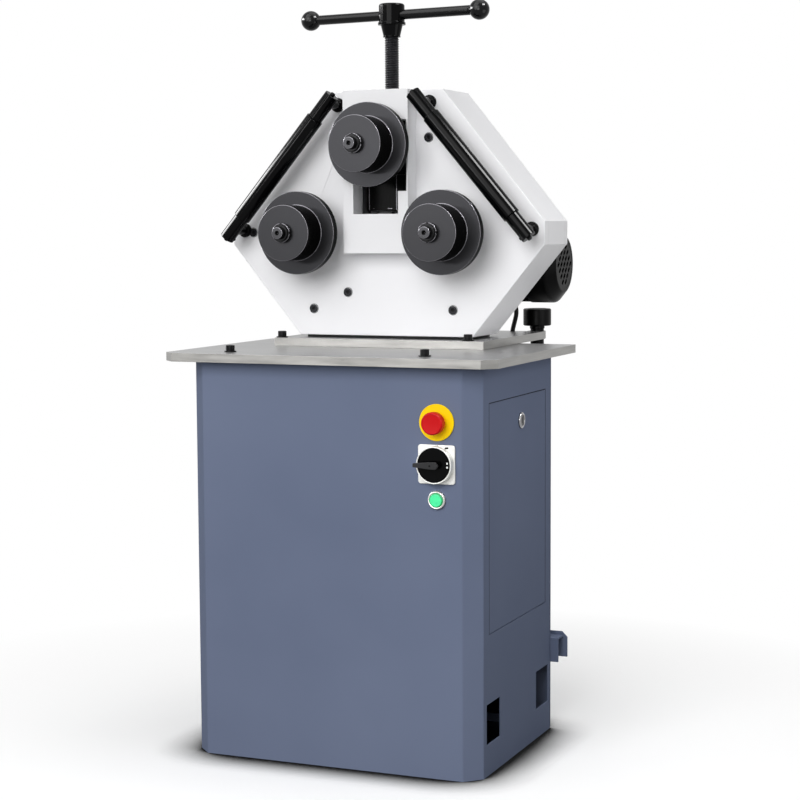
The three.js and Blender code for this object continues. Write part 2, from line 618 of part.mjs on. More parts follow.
function slideway(side) {
  const outline = [[way.inner, wayFront], [way.inner + way.thick, wayFront],
    [way.inner + way.thick, wayFront + way.deep], [way.inner, wayFront + way.deep],
    [way.inner, grooveFront + way.groove], [way.inner + way.grooveDeep, grooveFront + way.groove],
    [way.inner + way.grooveDeep, grooveFront], [way.inner, grooveFront]];
  return prism(outline.map(([x, y]) => [side * x, y]), 'z', way.bottom, way.top);
}
piece(head, 'left_slideway', 'oxide', slideway(-1));
piece(head, 'right_slideway', 'oxide', slideway(1));

// Bronze nut in a crossbar under the casing's top
function spindleNut() {
  const barFrom = nut.top - nut.bar;
  const crossbar = block([-nut.barHalf, nut.barHalf], [casingFrontBack + seat, casingRearFront - seat],
    [barFrom, nut.top]);
  const sleeve = rod('z', nut.flangeRadius, barFrom - nut.flangeThick, barFrom + overrun, [0, spindle.y]);
  return cut(union(crossbar, sleeve), rod('z', spindle.radius + running, barFrom - nut.flangeThick - overrun,
    nut.top + overrun, [0, spindle.y]));
}
piece(head, 'spindle_nut', 'bronze', spindleNut());

// Bearings of the lower shafts
function bush(from, to, radius = bearing.radius) {
  return cut(rod('y', radius, from, to), rod('y', shaft.radius + running, from - overrun, to + overrun));
}
for (const [name, side] of [['left', -1], ['right', 1]]) {
  const spot = [side * roller.lowerX, 0, roller.lowerZ];
  piece(head, `${name}_front_bearing`, 'bronze', bush(casing.front, casingFrontBack), spot);
  piece(head, `${name}_rear_bearing`, 'bronze', bush(casingRearFront, casing.back), spot);
}

// Shaft along Y, with a centre hole in its tip and a collar behind the roller
function rollerShaft(collarBack, back) {
  const { radius, tipRadius, front, stepFrom, collarRadius, tipBevel, centreRadius, centreDeep } = shaft;
  const collarFront = roller.discBack + seat;
  return turned([[0, front + centreDeep], [centreRadius, front + centreDeep - centreRadius], [centreRadius, front],
    [tipRadius - tipBevel, front], [tipRadius, front + tipBevel], [tipRadius, stepFrom], [radius, stepFrom],
    [radius, collarFront], [collarRadius, collarFront], [collarRadius, collarBack], [radius, collarBack],
    [radius, back], [0, back]], 'y', [0, 0], plainSides);
}

function formingRoller() {
  const { discRadius, discBack, discThick, rimGroove, rimGrooveDeep, radius, front, edge } = roller;
  const disc = discBack - discThick;
  const middle = disc + discThick / 2;
  const bore = shaft.radius + seat;
  return turned([[bore, front], [radius - edge, front], [radius, front + edge], [radius, disc],
    [discRadius - edge, disc], [discRadius, disc + edge], [discRadius, middle - rimGroove / 2],
    [discRadius - rimGrooveDeep, middle - rimGroove / 2], [discRadius - rimGrooveDeep, middle + rimGroove / 2],
    [discRadius, middle + rimGroove / 2], [discRadius, discBack - edge], [discRadius - edge, discBack],
    [bore, discBack], [bore, front]], 'y');
}

function clampNut() {
  const { radius, thick, ringRadius, ringThick, bevel } = rollerNut;
  const back = roller.front - seat;
  const bore = shaft.tipRadius + seat;
  return turned([[bore, back], [radius, back], [radius, back - thick + bevel], [radius - bevel, back - thick],
    [ringRadius, back - thick], [ringRadius, back - thick - ringThick], [bore, back - thick - ringThick],
    [bore, back]], 'y', [0, 0], plainSides);
}

// Involute gear outline of whole teeth, one of them centred on the phase angle
function gearOutline(teeth, phase) {
  const pressure = THREE.MathUtils.degToRad(gear.pressure);
  const pitch = gear.module * teeth / 2;
  const baseRadius = pitch * Math.cos(pressure);
  const tip = pitch + gear.module * gear.addendum;
  const root = pitch - gear.module * gear.dedendum;
  const involute = (angle) => Math.tan(angle) - angle;
  const halfAtPitch = (Math.PI * gear.module / 2 - gear.backlash) / 2 / pitch;
  const halfAt = (radius) => halfAtPitch + involute(pressure)
    - involute(Math.acos(Math.min(1, baseRadius / Math.max(radius, baseRadius))));
  const radii = baseRadius - root > gear.backlash ? [root, baseRadius, pitch, tip] : [root, pitch, tip];
  const flank = radii.map((radius) => [radius, halfAt(radius)]);
  const tooth = [...flank.map(([radius, half]) => [radius, -half]), ...flank.reverse()];
  return Array.from({ length: teeth }, (_, i) => phase + i * 2 * Math.PI / teeth).flatMap((middle) =>
    tooth.map(([radius, angle]) => [radius * Math.cos(middle + angle), radius * Math.sin(middle + angle)]));
}

// Phase that lets a gear mesh with another whose tooth is centred on its own phase
function meshedPhase(direction, teeth, phase, otherTeeth) {
  const offset = (direction - phase) * teeth / (2 * Math.PI);
  return direction + Math.PI - (0.5 - offset) * 2 * Math.PI / otherTeeth;
}

function drivenGear(phase) {
  return cut(prism(gearOutline(gear.teeth, phase), 'y', gear.back - gear.thick, gear.back),
    rod('y', shaft.radius + seat, gear.back - gear.thick - overrun, gear.back + overrun));
}

const toPinion = Math.atan2(-pinion.drop, roller.lowerX);
const pinionPhase = meshedPhase(toPinion, gear.teeth, 0, pinion.teeth);
const rightPhase = meshedPhase(-toPinion, pinion.teeth, pinionPhase, gear.teeth);
const lowerCollarBack = casing.front - running;

for (const [name, side, phase] of [['left', -1, 0], ['right', 1, rightPhase]]) {
  const spin = group(head, [side * roller.lowerX, 0, roller.lowerZ]);
  piece(spin, `${name}_shaft`, 'oxide', rollerShaft(lowerCollarBack, shaft.back));
  piece(spin, `${name}_roller`, 'oxide', formingRoller());
  piece(spin, `${name}_roller_nut`, 'oxide', clampNut());
  piece(spin, `${name}_gear`, 'steel', drivenGear(phase));
}

piece(head, 'drive_pinion', 'steel', union(
  prism(gearOutline(pinion.teeth, pinionPhase), 'y', gear.back - gear.thick - pinion.extra,
    gear.back + pinion.extra),
  rod('y', pinion.shaftRadius, pinion.front, pinion.back),
), [0, 0, pinionZ]);

// Upper roller on the slide
const slideGroup = group(head, [0, 0, roller.upperZ]);
piece(slideGroup, 'top_shaft', 'oxide', rollerShaft(slideFront - running, shaft.upperBack));
piece(slideGroup, 'top_roller', 'oxide', formingRoller());
piece(slideGroup, 'top_roller_nut', 'oxide', clampNut());
piece(slideGroup, 'top_bearing', 'bronze', bush(slideFront, slideFront + slide.deep));

function slideBlock() {
  const half = way.inner - running;
  const tongueHalf = way.inner + way.grooveDeep - running;
  const [bottom, top] = [-slide.low, slide.high - slide.low];
  const body = block([-half, half], [slideFront, slideFront + slide.deep], [bottom, top]);
  const tongue = block([-tongueHalf, tongueHalf],
    [grooveFront + running, grooveFront + way.groove - running], [bottom, top]);
  const apron = block([-half, half], [casingFrontBack + running, slideFront + slide.deep],
    [bottom - slide.apron, bottom + overrun]);
  const bore = rod('y', bearing.radius + seat, slideFront - overrun, slideFront + slide.deep + overrun);
  const pocket = rod('z', spindle.collarRadius + running, top - slide.pocketDeep, top + overrun, [0, spindle.y]);
  return cut(union(body, tongue, apron), bore, pocket);
}
piece(slideGroup, 'slide_block', 'oxide', slideBlock());

const capFrom = slide.high - slide.low + seat;
piece(slideGroup, 'slide_cap', 'steel', cut(
  block([-slide.capHalfWide, slide.capHalfWide], [spindle.y - slide.capHalfWide, slideFront + slide.deep],
    [capFrom, capFrom + slide.capThick]),
  rod('z', spindle.radius + running, capFrom - overrun, capFrom + slide.capThick + overrun, [0, spindle.y]),
));

// Spindle with its collar in the slide and a hub for the cross bar
const screwGroup = group(head, [0, spindle.y, 0]);

function spindleSolid() {
  const {
    radius, collarRadius, collarHigh, coneFrom, coneLow, coneTop, hubFrom, hubTo, hubRadius, hubBevel,
  } = spindle;
  const collarTop = blockTop - running;
  const body = turned([[0, collarTop - collarHigh], [collarRadius, collarTop - collarHigh],
    [collarRadius, collarTop], [radius, collarTop], [radius, coneFrom], [coneLow, coneFrom],
    [coneTop, hubFrom], [hubRadius - hubBevel, hubFrom], [hubRadius, hubFrom + hubBevel],
    [hubRadius, hubTo - hubBevel], [hubRadius - hubBevel, hubTo], [0, hubTo]],
  'z', [0, 0], plainSides);
  const reach = hubRadius + overrun;
  const crossHole = rod('x', handle.radius + seat, -reach, reach).rotate([0, 0, -handle.turn]);
  return cut(body, crossHole.translate([0, 0, handle.height]));
}
piece(screwGroup, 'spindle', 'oxide', spindleSolid());

// Cross bar along X in its own frame, with a neck and a ball at each end
function crossBar() {
  const ends = [[-1, handle.leftReach], [1, handle.rightReach]].map(([side, reach]) => {
    const neck = reach - handle.ballRadius - handle.neckLong / 2;
    const ball = closed(new THREE.SphereGeometry(handle.ballRadius, plainSides, handle.ballRings)
      .rotateZ(Math.PI / 2).translate(side * reach, 0, 0));
    const [from, to] = [side * neck, side * (neck + handle.neckLong)];
    return union(ball, rod('x', handle.neckRadius, Math.min(from, to), Math.max(from, to)));
  });
  return union(rod('x', handle.radius, -handle.leftReach, handle.rightReach), ...ends);
}
const crossMesh = piece(screwGroup, 'handle_bar', 'black', crossBar(), [0, 0, handle.height]);
crossMesh.rotation.z = -THREE.MathUtils.degToRad(handle.turn);

// Guide bars: a fixed core with end blocks and studs, and a sleeve that turns on it
for (const [name, side] of [['left', -1], ['right', 1]]) {
  const top = new THREE.Vector3(side * guide.topX, guide.y, guide.topZ);
  const low = new THREE.Vector3(side * guide.lowX, guide.y, guide.lowZ);
  const length = top.distanceTo(low);
  const at = (share) => top.clone().lerp(low, share).toArray();
  const studShare = guide.studInset / length;
  const studs = [studShare, 1 - studShare].map((share) => {
    const [x, y, z] = at(share);
    return union(rod('y', guide.studRadius, y, casing.front - seat, [x, z], smallSides),
      rod('y', guide.bossRadius, casing.front - seat - guide.bossProud, casing.front - seat, [x, z]));
  });
  const gapShare = running / length;
  const frame = union(bar(at(0), at(1), guide.coreRadius, smallSides),
    bar(at(0), at(guide.sleeveFromShare - gapShare), guide.endRadius),
    bar(at(guide.sleeveToShare + gapShare), at(1), guide.endRadius), ...studs);
  piece(head, `guide_bar_frame_${name}`, 'black', frame);

  const turn = group(head, at(guide.sleeveFromShare));
  turn.quaternion.setFromUnitVectors(unitZ, low.clone().sub(top).normalize());
  const long = (guide.sleeveToShare - guide.sleeveFromShare) * length;
  piece(turn, `${name}_sleeve`, 'black', cut(rod('z', guide.sleeveRadius, 0, long),
    rod('z', guide.coreRadius + running, -overrun, long + overrun, [0, 0], smallSides)));
}

// Worm gearbox on the rear plate
function gearboxSolid() {
  const {
    flangeHalf, flangeThick, flangeUp, flangeDown, barrelRadius, wormRadius, back, half, spigotRadius, wormY,
    coverRadius, coverThick,
  } = gearbox;
  const face = casing.back + seat;
  const flange = block([-flangeHalf, flangeHalf], [face, face + flangeThick],
    [pinionZ - flangeDown, pinionZ + flangeUp]);
  const spigot = rod('y', spigotRadius, casingRearFront, face + overrun, [0, pinionZ]);
  const barrel = rod('y', barrelRadius, face + flangeThick - overrun, back - coverThick, [0, pinionZ], fineSides);
  const lid = rod('y', coverRadius, back - coverThick - overrun, back, [0, pinionZ], fineSides);
  const wormBarrel = rod('x', wormRadius, -half, half, [wormY, wormZ], fineSides);
  const mouth = rod('x', motor.flangeRadius, half - motor.flangeThick, motor.start - seat,
    [wormY, wormZ], fineSides);
  const outputBore = rod('y', pinion.shaftRadius + running, casingRearFront - overrun, pinion.back + seat,
    [0, pinionZ]);
  return cut(union(flange, spigot, barrel, lid, wormBarrel, mouth), outputBore);
}
piece(head, 'gearbox', 'grey', gearboxSolid());

// Motor with cooling fins, a terminal box and a fan under its cover; its axis is the group's x axis
const motorGroup = group(head, [0, gearbox.wormY, wormZ]);

function motorSolid() {
  const { coreRadius, finRadius, fins, finWide, flangeRadius, flangeThick, boreRadius, boreDeep } = motor;
  const ends = [motor.start + flangeThick, motorEnd - flangeThick];
  const finAngle = finWide / finRadius / 2;
  const rootAngle = finWide / coreRadius;
  const outline = Array.from({ length: fins }, (_, i) => i / fins * 2 * Math.PI).flatMap((middle) =>
    [[coreRadius, -rootAngle], [finRadius, -finAngle], [finRadius, finAngle], [coreRadius, rootAngle]]
      .map(([radius, angle]) => [radius * Math.cos(middle + angle), radius * Math.sin(middle + angle)]));
  const body = prism(outline, 'x', ends[0] - overrun, ends[1]);
  const frontEnd = rod('x', flangeRadius, motor.start, ends[0], [0, 0], fineSides);
  const rearEnd = rod('x', flangeRadius, ends[1] - overrun, motorEnd, [0, 0], fineSides);
  const boxY = cable.y - gearbox.wormY;
  const terminal = block([motor.boxFrom, motor.boxFrom + motor.boxWide],
    [coreRadius - motor.boxSink, boxY + motor.boxDeep / 2], [-motor.boxHalfHigh, motor.boxHalfHigh]);
  const gland = rod('z', cable.glandRadius, -motor.boxHalfHigh - cable.glandHigh, -motor.boxHalfHigh + overrun,
    [cable.x, boxY], smallSides);
  const cordHole = rod('z', cable.radius + cable.holeGap, -motor.boxHalfHigh - cable.glandHigh - overrun,
    -motor.boxHalfHigh + overrun, [cable.x, boxY], smallSides);
  return cut(union(body, frontEnd, rearEnd, terminal, gland), cordHole,
    rod('x', boreRadius + running, motorEnd - boreDeep, motorEnd + overrun, [0, 0], smallSides));
}
piece(motorGroup, 'motor', 'grey', motorSolid());

function fanCoverSolid() {
  const { radius, faceRadius, length, bevel, wall, rows, columns } = fanCover;
  const from = motorEnd - motor.flangeThick + seat;
  const end = motorEnd + length;
  const hood = turned([[radius - wall, from], [radius, from], [radius, end - bevel], [faceRadius, end], [0, end],
    [0, end - wall], [faceRadius - wall / 2, end - wall], [radius - wall, end - bevel - wall / 2],
    [radius - wall, from]], 'x');
  const spots = Array.from({ length: rows * columns }, (_, i) => {
    const row = Math.floor(i / columns) - (rows - 1) / 2;
    const shift = Math.abs(row) % 2 / 2;
    return [(i % columns - (columns - 1) / 2 + shift) * fanCover.columnGap, row * fanCover.rowGap];
  }).filter(([y, z]) => Math.hypot(y, z) < fanCover.grilleRadius - fanCover.slotLong / 2);
  const cuts = spots.map(([y, z]) => block([end - wall - overrun, end + overrun],
    [-fanCover.slotLong / 2, fanCover.slotLong / 2], [-fanCover.slotWide / 2, fanCover.slotWide / 2])
    .rotate([fanCover.slotTurn, 0, 0]).translate([0, y, z]));
  return cut(hood, ...cuts);
}
piece(motorGroup, 'fan_cover', 'black', fanCoverSolid());

function fanSolid() {
  const { blades, bladeThick, bladeLong, radius, hubRadius, fromMotor, discThick } = fan;
  const hub = rod('x', hubRadius, 0, discThick + bladeLong);
  const disc = rod('x', radius, 0, discThick, [0, 0], fineSides);
  const stub = rod('x', motor.boreRadius, -fromMotor - motor.boreDeep + seat + overrun, overrun,
    [0, 0], smallSides);
  const vanes = Array.from({ length: blades }, (_, i) => block([overrun, discThick + bladeLong],
    [hubRadius - overrun, radius], [-bladeThick / 2, bladeThick / 2]).rotate([360 * i / blades, 0, 0]));
  return union(disc, hub, stub, ...vanes);
}
piece(motorGroup, 'fan', 'grey', fanSolid(), [motorEnd + fan.fromMotor, 0, 0]);

// Motor cable from the terminal box down to the base plate
function cableSolid() {
  const top = wormZ - motor.boxHalfHigh - overrun;
  const bottom = overrun;
  const { bow, bowFromShare: from, bowToShare: to } = cable;
  const span = to - from;
  const bends = [[0, 0], [0, from], [bow / 2, from + span / 4], [bow, from + span / 2],
    [bow / 2, to - span / 4], [0, to], [0, 1]];
  const route = new THREE.CatmullRomCurve3(bends.map(([shift, share]) =>
    new THREE.Vector3(cable.x + shift, cable.y, bottom + (top - bottom) * share)));
  const spots = ring(cable.radius, [0, 0], cable.sides).map(([a, b]) => new THREE.Vector2(a, b));
  const course = { extrudePath: route, steps: cable.steps, bevelEnabled: false };
  return closed(new THREE.ExtrudeGeometry(new THREE.Shape(spots), course));
}
piece(head, 'motor_cable', 'rubber', cableSolid());

export default part;
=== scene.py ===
"""Looks of a motor-driven ring roller on its sheet steel cabinet.

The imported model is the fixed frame. Sizes and places here are millimetres, taken from the frame's
nodes where they carry a piece, and they become metres when a mesh is made.
"""

import json
import math

import bmesh
import bpy
import numpy as np
from mathutils import Matrix, Vector
from mathutils.geometry import tessellate_polygon

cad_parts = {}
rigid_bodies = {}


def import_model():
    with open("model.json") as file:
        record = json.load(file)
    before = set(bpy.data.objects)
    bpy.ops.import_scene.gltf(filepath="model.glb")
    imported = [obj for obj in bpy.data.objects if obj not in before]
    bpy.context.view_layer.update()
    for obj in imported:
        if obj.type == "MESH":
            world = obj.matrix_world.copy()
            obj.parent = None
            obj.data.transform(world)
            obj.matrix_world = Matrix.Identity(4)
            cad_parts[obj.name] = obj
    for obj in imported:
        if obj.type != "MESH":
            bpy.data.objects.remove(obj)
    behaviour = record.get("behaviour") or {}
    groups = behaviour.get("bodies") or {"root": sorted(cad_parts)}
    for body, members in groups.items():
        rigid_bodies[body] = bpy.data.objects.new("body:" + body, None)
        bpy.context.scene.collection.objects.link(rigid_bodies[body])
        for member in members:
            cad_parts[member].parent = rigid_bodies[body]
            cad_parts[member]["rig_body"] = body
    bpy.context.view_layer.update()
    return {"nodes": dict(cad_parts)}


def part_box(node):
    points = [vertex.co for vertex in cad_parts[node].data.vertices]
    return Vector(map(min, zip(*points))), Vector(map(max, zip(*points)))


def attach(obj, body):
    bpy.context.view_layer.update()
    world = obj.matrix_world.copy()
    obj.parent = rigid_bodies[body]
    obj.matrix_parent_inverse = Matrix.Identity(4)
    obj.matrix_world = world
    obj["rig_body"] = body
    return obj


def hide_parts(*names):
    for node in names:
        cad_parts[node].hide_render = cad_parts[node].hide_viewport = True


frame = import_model()

MM = 0.001
WELD = 1e-6
SLIVER = 0.02 * MM  # triangles thinner than this are closed up before a bevel
SHARP = math.radians(32)
QUARTER = math.pi / 2
FULL_TURN = 2 * math.pi
STRAIGHT = 1e-3  # a corner that turns by less than this gets no arc
SIDE_SHARE = 0.48  # an arc takes at most this share of a side
FACING = 0.9  # a face looks along a direction from this cosine on
ALONG = 0.99  # an edge runs along an axis from this cosine on

X, Y, Z = np.eye(3)


# Places in the frame

def span(node):
    """Lowest and highest corner of a CAD node, in millimetres."""
    low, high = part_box(node)
    return np.array(low) / MM, np.array(high) / MM


def middle(node):
    low, high = span(node)
    return (low + high) / 2


def turned_place(node):
    """The axis of a piece that is turned about Y, as (x, 0, z), and its front and back."""
    low, high = span(node)
    x, _, z = (low + high) / 2
    return (x, 0, z), low[1], high[1]


# Surfaces: each one is (points, faces, tints), with faces as index arrays of equal length
# and a tint, the number of the material, for each face

def outward(points, faces, tints):
    """Turns the faces round where the enclosed volume, the sum of the triangles' triple products,
    is negative."""
    volume = 0.0
    for block in faces:
        first = points[block[:, 0]]
        for i in range(1, block.shape[1] - 1):
            crossed = np.cross(points[block[:, i]], points[block[:, i + 1]])
            volume += float((first * crossed).sum())
    if volume < 0:
        faces = [block[:, ::-1] for block in faces]
    return points, faces, tints


def plain(points, faces):
    """A surface in its first material."""
    return outward(points, faces, [np.zeros(len(block), int) for block in faces])


def tinted(surface, number):
    """The same surface in a later material."""
    points, faces, tints = surface
    return points, faces, [block + number for block in tints]


def around(sides):
    return np.arange(sides) / sides * FULL_TURN


def between(rows, others):
    """Quads from each ring of points to the one across from it."""
    quads = np.stack([rows, np.roll(rows, -1, 1), np.roll(others, -1, 1), others], axis=-1)
    return quads.reshape(-1, 4)


def capped(points, rings):
    """A surface through rings of points, closed by the first and the last ring."""
    index = np.arange(len(points)).reshape(rings, -1)
    return plain(points, [between(index[:-1], index[1:]), index[:1, ::-1], index[-1:]])


def doubled_area(loop):
    """Twice the area of a flat loop, the sum of x * next y - y * next x: above 0 anticlockwise."""
    return (loop[:, 0] * np.roll(loop[:, 1], -1) - loop[:, 1] * np.roll(loop[:, 0], -1)).sum()


def filleted(corners, radius=1.0, steps=4, closed=False):
    """A polyline whose corners become arcs tangent to both sides. A corner is (a, b) or
    (a, b, radius). Gives the points, and for each stretch whether it belongs to an arc."""
    spots = np.array([corner[:2] for corner in corners], float)
    wanted = [corner[2] if len(corner) > 2 else radius for corner in corners]
    count = len(spots)
    line, curved = [], []
    for i, spot in enumerate(spots):
        rounded = wanted[i] > 0 and (closed or 0 < i < count - 1)
        if rounded:
            back, ahead = spots[i - 1] - spot, spots[(i + 1) % count] - spot
            long = min(np.linalg.norm(back), np.linalg.norm(ahead))
            back, ahead = back / np.linalg.norm(back), ahead / np.linalg.norm(ahead)
            opening = math.acos(np.clip(back @ ahead, -1, 1))
            rounded = opening <= math.pi - STRAIGHT
        if not rounded:
            line.append(spot[None])
            curved.append([False])
            continue
        tangent = min(wanted[i] / math.tan(opening / 2), SIDE_SHARE * long)
        hub = spot + (back + ahead) / np.linalg.norm(back + ahead) * tangent / math.cos(opening / 2)
        from_hub, to_hub = spot + back * tangent - hub, spot + ahead * tangent - hub
        sweep = math.pi - opening
        share = np.linspace(0, 1, steps + 1)[:, None]
        arc = np.sin((1 - share) * sweep) * from_hub + np.sin(share * sweep) * to_hub
        line.append(hub + arc / math.sin(sweep))
        curved.append([True] * steps + [False])
    flags = [flag for part in curved for flag in part]
    return np.vstack(line), np.array(flags)


def aimed(points, start, toward):
    """Turns points made along Z to the direction toward, and moves them to start."""
    turn = Vector((0, 0, 1)).rotation_difference(Vector(toward)).to_matrix()
    return points @ np.array(turn).T + np.array(start, float)


def turned(profile, start, toward=Y, sides=96, swell=None, tint=None):
    """A profile of (radius, distance along the axis) rows, carried round the axis: point (i, j) =
    (radius_i * swell_ij * cos angle_j, the same times sin angle_j, distance_i), then aimed.
    A profile that starts and ends on the axis is closed by two poles, any other is a ring."""
    profile = np.asarray(profile, float)
    poles = profile[0, 0] < WELD and profile[-1, 0] < WELD
    rows = profile[1:-1] if poles else profile
    stretch = np.zeros(len(profile), int) if tint is None else np.asarray(tint, int)
    angle = around(sides)
    radius = rows[:, :1] * (np.ones((len(rows), sides)) if swell is None else swell)
    along = np.repeat(rows[:, 1:2], sides, axis=1)
    points = np.stack([radius * np.cos(angle), radius * np.sin(angle), along], axis=-1).reshape(-1, 3)
    index = np.arange(len(rows) * sides).reshape(len(rows), sides)
    nearer, further = (index[:-1], index[1:]) if poles else (index, np.roll(index, -1, axis=0))
    numbers = stretch[1:len(rows)] if poles else stretch[:len(rows)]
    faces = [between(nearer, further)]
    tints = [np.repeat(numbers, sides)]
    if poles:
        first = np.full(sides, len(points))
        faces += [np.stack([first, np.roll(index[0], -1), index[0]], axis=-1),
                  np.stack([first + 1, index[-1], np.roll(index[-1], -1)], axis=-1)]
        tints += [np.full(sides, stretch[0]), np.full(sides, stretch[len(rows)])]
        points = np.vstack([points, [[0, 0, profile[0, 1]], [0, 0, profile[-1, 1]]]])
    return outward(aimed(points, start, toward), faces, tints)


def spun(corners, radius=0.6, start=(0, 0, 0), toward=Y, sides=96, steps=4, bright=False, ring=False):
    """A turned surface from a profile's corners, each one filleted. A ring's profile is closed in
    itself. With bright, the arcs get the second material."""
    profile, curved = filleted(corners, radius, steps, closed=ring)
    return turned(profile, start, toward, sides, tint=curved.astype(int) if bright else None)


def rod(radius, near, far, eased, start, toward=Y, sides=96):
    """A round bar between two distances along its axis. eased is the rounding of its two rims."""
    return spun([(0, near), (radius, near, eased[0]), (radius, far, eased[1]), (0, far)],
                0, start, toward, sides)


def plate(outline, low, high, edge, start=(0, 0, 0), toward=Z, steps=3):
    """A prism with eased edges: the outline, drawn in by edge * (1 - sin t), stands at
    edge * (1 - cos t) from each end."""
    outline = np.asarray(outline, float)
    heading = np.roll(outline, -1, axis=0) - outline
    heading /= np.linalg.norm(heading, axis=1, keepdims=True)
    normal = np.stack([heading[:, 1], -heading[:, 0]], axis=-1)
    before = np.roll(normal, 1, axis=0)
    lean = (normal + before) / (1 + (normal * before).sum(1, keepdims=True))
    inward = -lean * math.copysign(1, doubled_area(outline))
    t = np.linspace(0, QUARTER, steps + 1)
    drawn, rise = edge * (1 - np.sin(t)), edge * (1 - np.cos(t))
    drawn = np.concatenate([drawn, drawn[::-1]])
    level = np.concatenate([low + rise, (high - rise)[::-1]])
    flat = outline[None] + inward[None] * drawn[:, None, None]
    lift = np.repeat(level[:, None, None], len(outline), axis=1)
    points = np.concatenate([flat, lift], axis=-1).reshape(-1, 3)
    return capped(aimed(points, start, toward), len(level))


def box(low, high, edge=0.5):
    """A block with eased edges, between two corners."""
    (x0, y0, z0), (x1, y1, z1) = low, high
    outline, _ = filleted([(x0, y0), (x1, y0), (x1, y1), (x0, y1)], edge, 3, closed=True)
    return plate(outline, z0, z1, min(edge, 0.4 * (z1 - z0)))


def rectangle(half_wide, half_high, corner, steps=5):
    corners = [(-half_wide, -half_high), (half_wide, -half_high), (half_wide, half_high),
               (-half_wide, half_high)]
    return filleted(corners, corner, steps, closed=True)[0]


def tube(path, radius, sides=20):
    """A round section carried along a path that never runs along Y: centre + radius * (cos angle *
    side + sin angle * up), where side is heading x Y and up is side x heading."""
    path = np.asarray(path, float)
    heading = np.gradient(path, axis=0)
    heading /= np.linalg.norm(heading, axis=1, keepdims=True)
    side = np.cross(heading, Y)
    side /= np.linalg.norm(side, axis=1, keepdims=True)
    up = np.cross(side, heading)
    angle = around(sides)[None, :, None]
    reach = np.cos(angle) * side[:, None] + np.sin(angle) * up[:, None]
    return capped((path[:, None] + radius * reach).reshape(-1, 3), len(path))


def pierced(outline, holes, low, high, start, toward):
    """A flat sheet with holes: the outline and the holes as walls, and two faces of triangles
    between them."""
    loops = [np.asarray(loop, float) for loop in (outline, *holes)]
    flat = np.vstack(loops)
    rims = [[(*spot, 0.0) for spot in loop.tolist()] for loop in loops]
    triangles = np.array(tessellate_polygon(rims))
    corners = flat[triangles]
    doubled = np.cross(corners[:, 1] - corners[:, 0], corners[:, 2] - corners[:, 0])
    triangles = np.where(doubled[:, None] < 0, triangles[:, ::-1], triangles)
    count, first, walls = len(flat), 0, []
    for number, loop in enumerate(loops):
        near = np.arange(len(loop)) + first
        ahead = np.roll(near, -1)
        if (doubled_area(loop) < 0) == (number == 0):
            near, ahead = ahead, near
        walls.append(np.stack([near, ahead, ahead + count, near + count], axis=-1))
        first += len(loop)
    points = np.vstack([np.column_stack([flat, np.full(count, level)]) for level in (low, high)])
    faces = [triangles[:, ::-1], triangles + count, np.vstack(walls)]
    return plain(aimed(points, start, toward), faces)


# Pieces

def placed(name, data):
    """A new object at the origin, in the scene."""
    new = bpy.data.objects.new(name, data)
    bpy.context.scene.collection.objects.link(new)
    return new


def dress(piece, body, materials, nodes):
    """Gives a piece its materials, even shading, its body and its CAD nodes."""
    for material in materials:
        piece.data.materials.append(material)
    weighted = piece.modifiers.new("even_shading", "WEIGHTED_NORMAL")
    weighted.keep_sharp = True
    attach(piece, body)
    if nodes:
        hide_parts(*nodes)


def make(name, body, surfaces, materials, nodes=()):
    """One object from closed surfaces, joined into a single mesh."""
    count, points, faces, tints = 0, [], [], []
    for spots, blocks, numbers in surfaces:
        points.append(spots)
        for block, number in zip(blocks, numbers):
            faces += (block + count).tolist()
            tints.append(number)
        count += len(spots)
    mesh = bpy.data.meshes.new(name)
    mesh.from_pydata((np.vstack(points) * MM).tolist(), [], faces)
    mesh.polygons.foreach_set("material_index", np.concatenate(tints).astype(np.int32))
    mesh.shade_smooth()
    mesh.set_sharp_from_angle(angle=SHARP)
    mesh.update()
    dress(placed(name, mesh), body, materials, nodes)


def eased_copy(node, word, materials, ease=0.5, bend=None, bent=None, second=None, steps=3):
    """A CAD node's mesh, merged, with a rounded bevel on its edges: ease wide, and bend wide on the
    edges that bent(middle, direction, long) picks. second(normal) picks the faces that take the
    second material."""
    source = frame["nodes"][node]
    name = f"{node}_{word}"
    mesh = source.data.copy()
    mesh.name = name
    mesh.materials.clear()
    work = bmesh.new()
    work.from_mesh(mesh)
    bmesh.ops.remove_doubles(work, verts=work.verts, dist=WELD)
    bmesh.ops.dissolve_degenerate(work, edges=work.edges, dist=SLIVER)
    bevel_share = work.edges.layers.float.new("bevel_weight_edge")
    widest = max(ease, bend or 0)
    for edge in work.edges:
        if len(edge.link_faces) < 2 or edge.calc_face_angle(0) < SHARP:
            continue
        a, b = (np.array(vertex.co) / MM for vertex in edge.verts)
        long = np.linalg.norm(b - a)
        picked = bent is not None and bent((a + b) / 2, np.abs(b - a) / long, long)
        edge[bevel_share] = (bend if picked else ease) / widest
    for face in work.faces:
        face.smooth = True
        face.material_index = int(second is not None and second(np.array(face.normal)))
    work.to_mesh(mesh)
    work.free()
    piece = placed(name, mesh)
    bevel = piece.modifiers.new("eased_edges", "BEVEL")
    bevel.limit_method = "WEIGHT"
    bevel.width = widest * MM
    bevel.segments = steps
    bevel.use_clamp_overlap = True
    bevel.miter_outer = "MITER_ARC"
    bevel.harden_normals = True
    dress(piece, source["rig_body"], materials, [node])


def facing(toward):
    """Picks the faces that look along a direction."""
    return lambda normal: normal @ toward > FACING


# Materials

def linear(code):
    """A #rrggbb colour as linear RGBA."""
    shares = np.array([int(code[i:i + 2], 16) for i in (1, 3, 5)]) / 255
    light = np.where(shares <= 0.04045, shares / 12.92, ((shares + 0.055) / 1.055) ** 2.4)
    return (*light, 1.0)


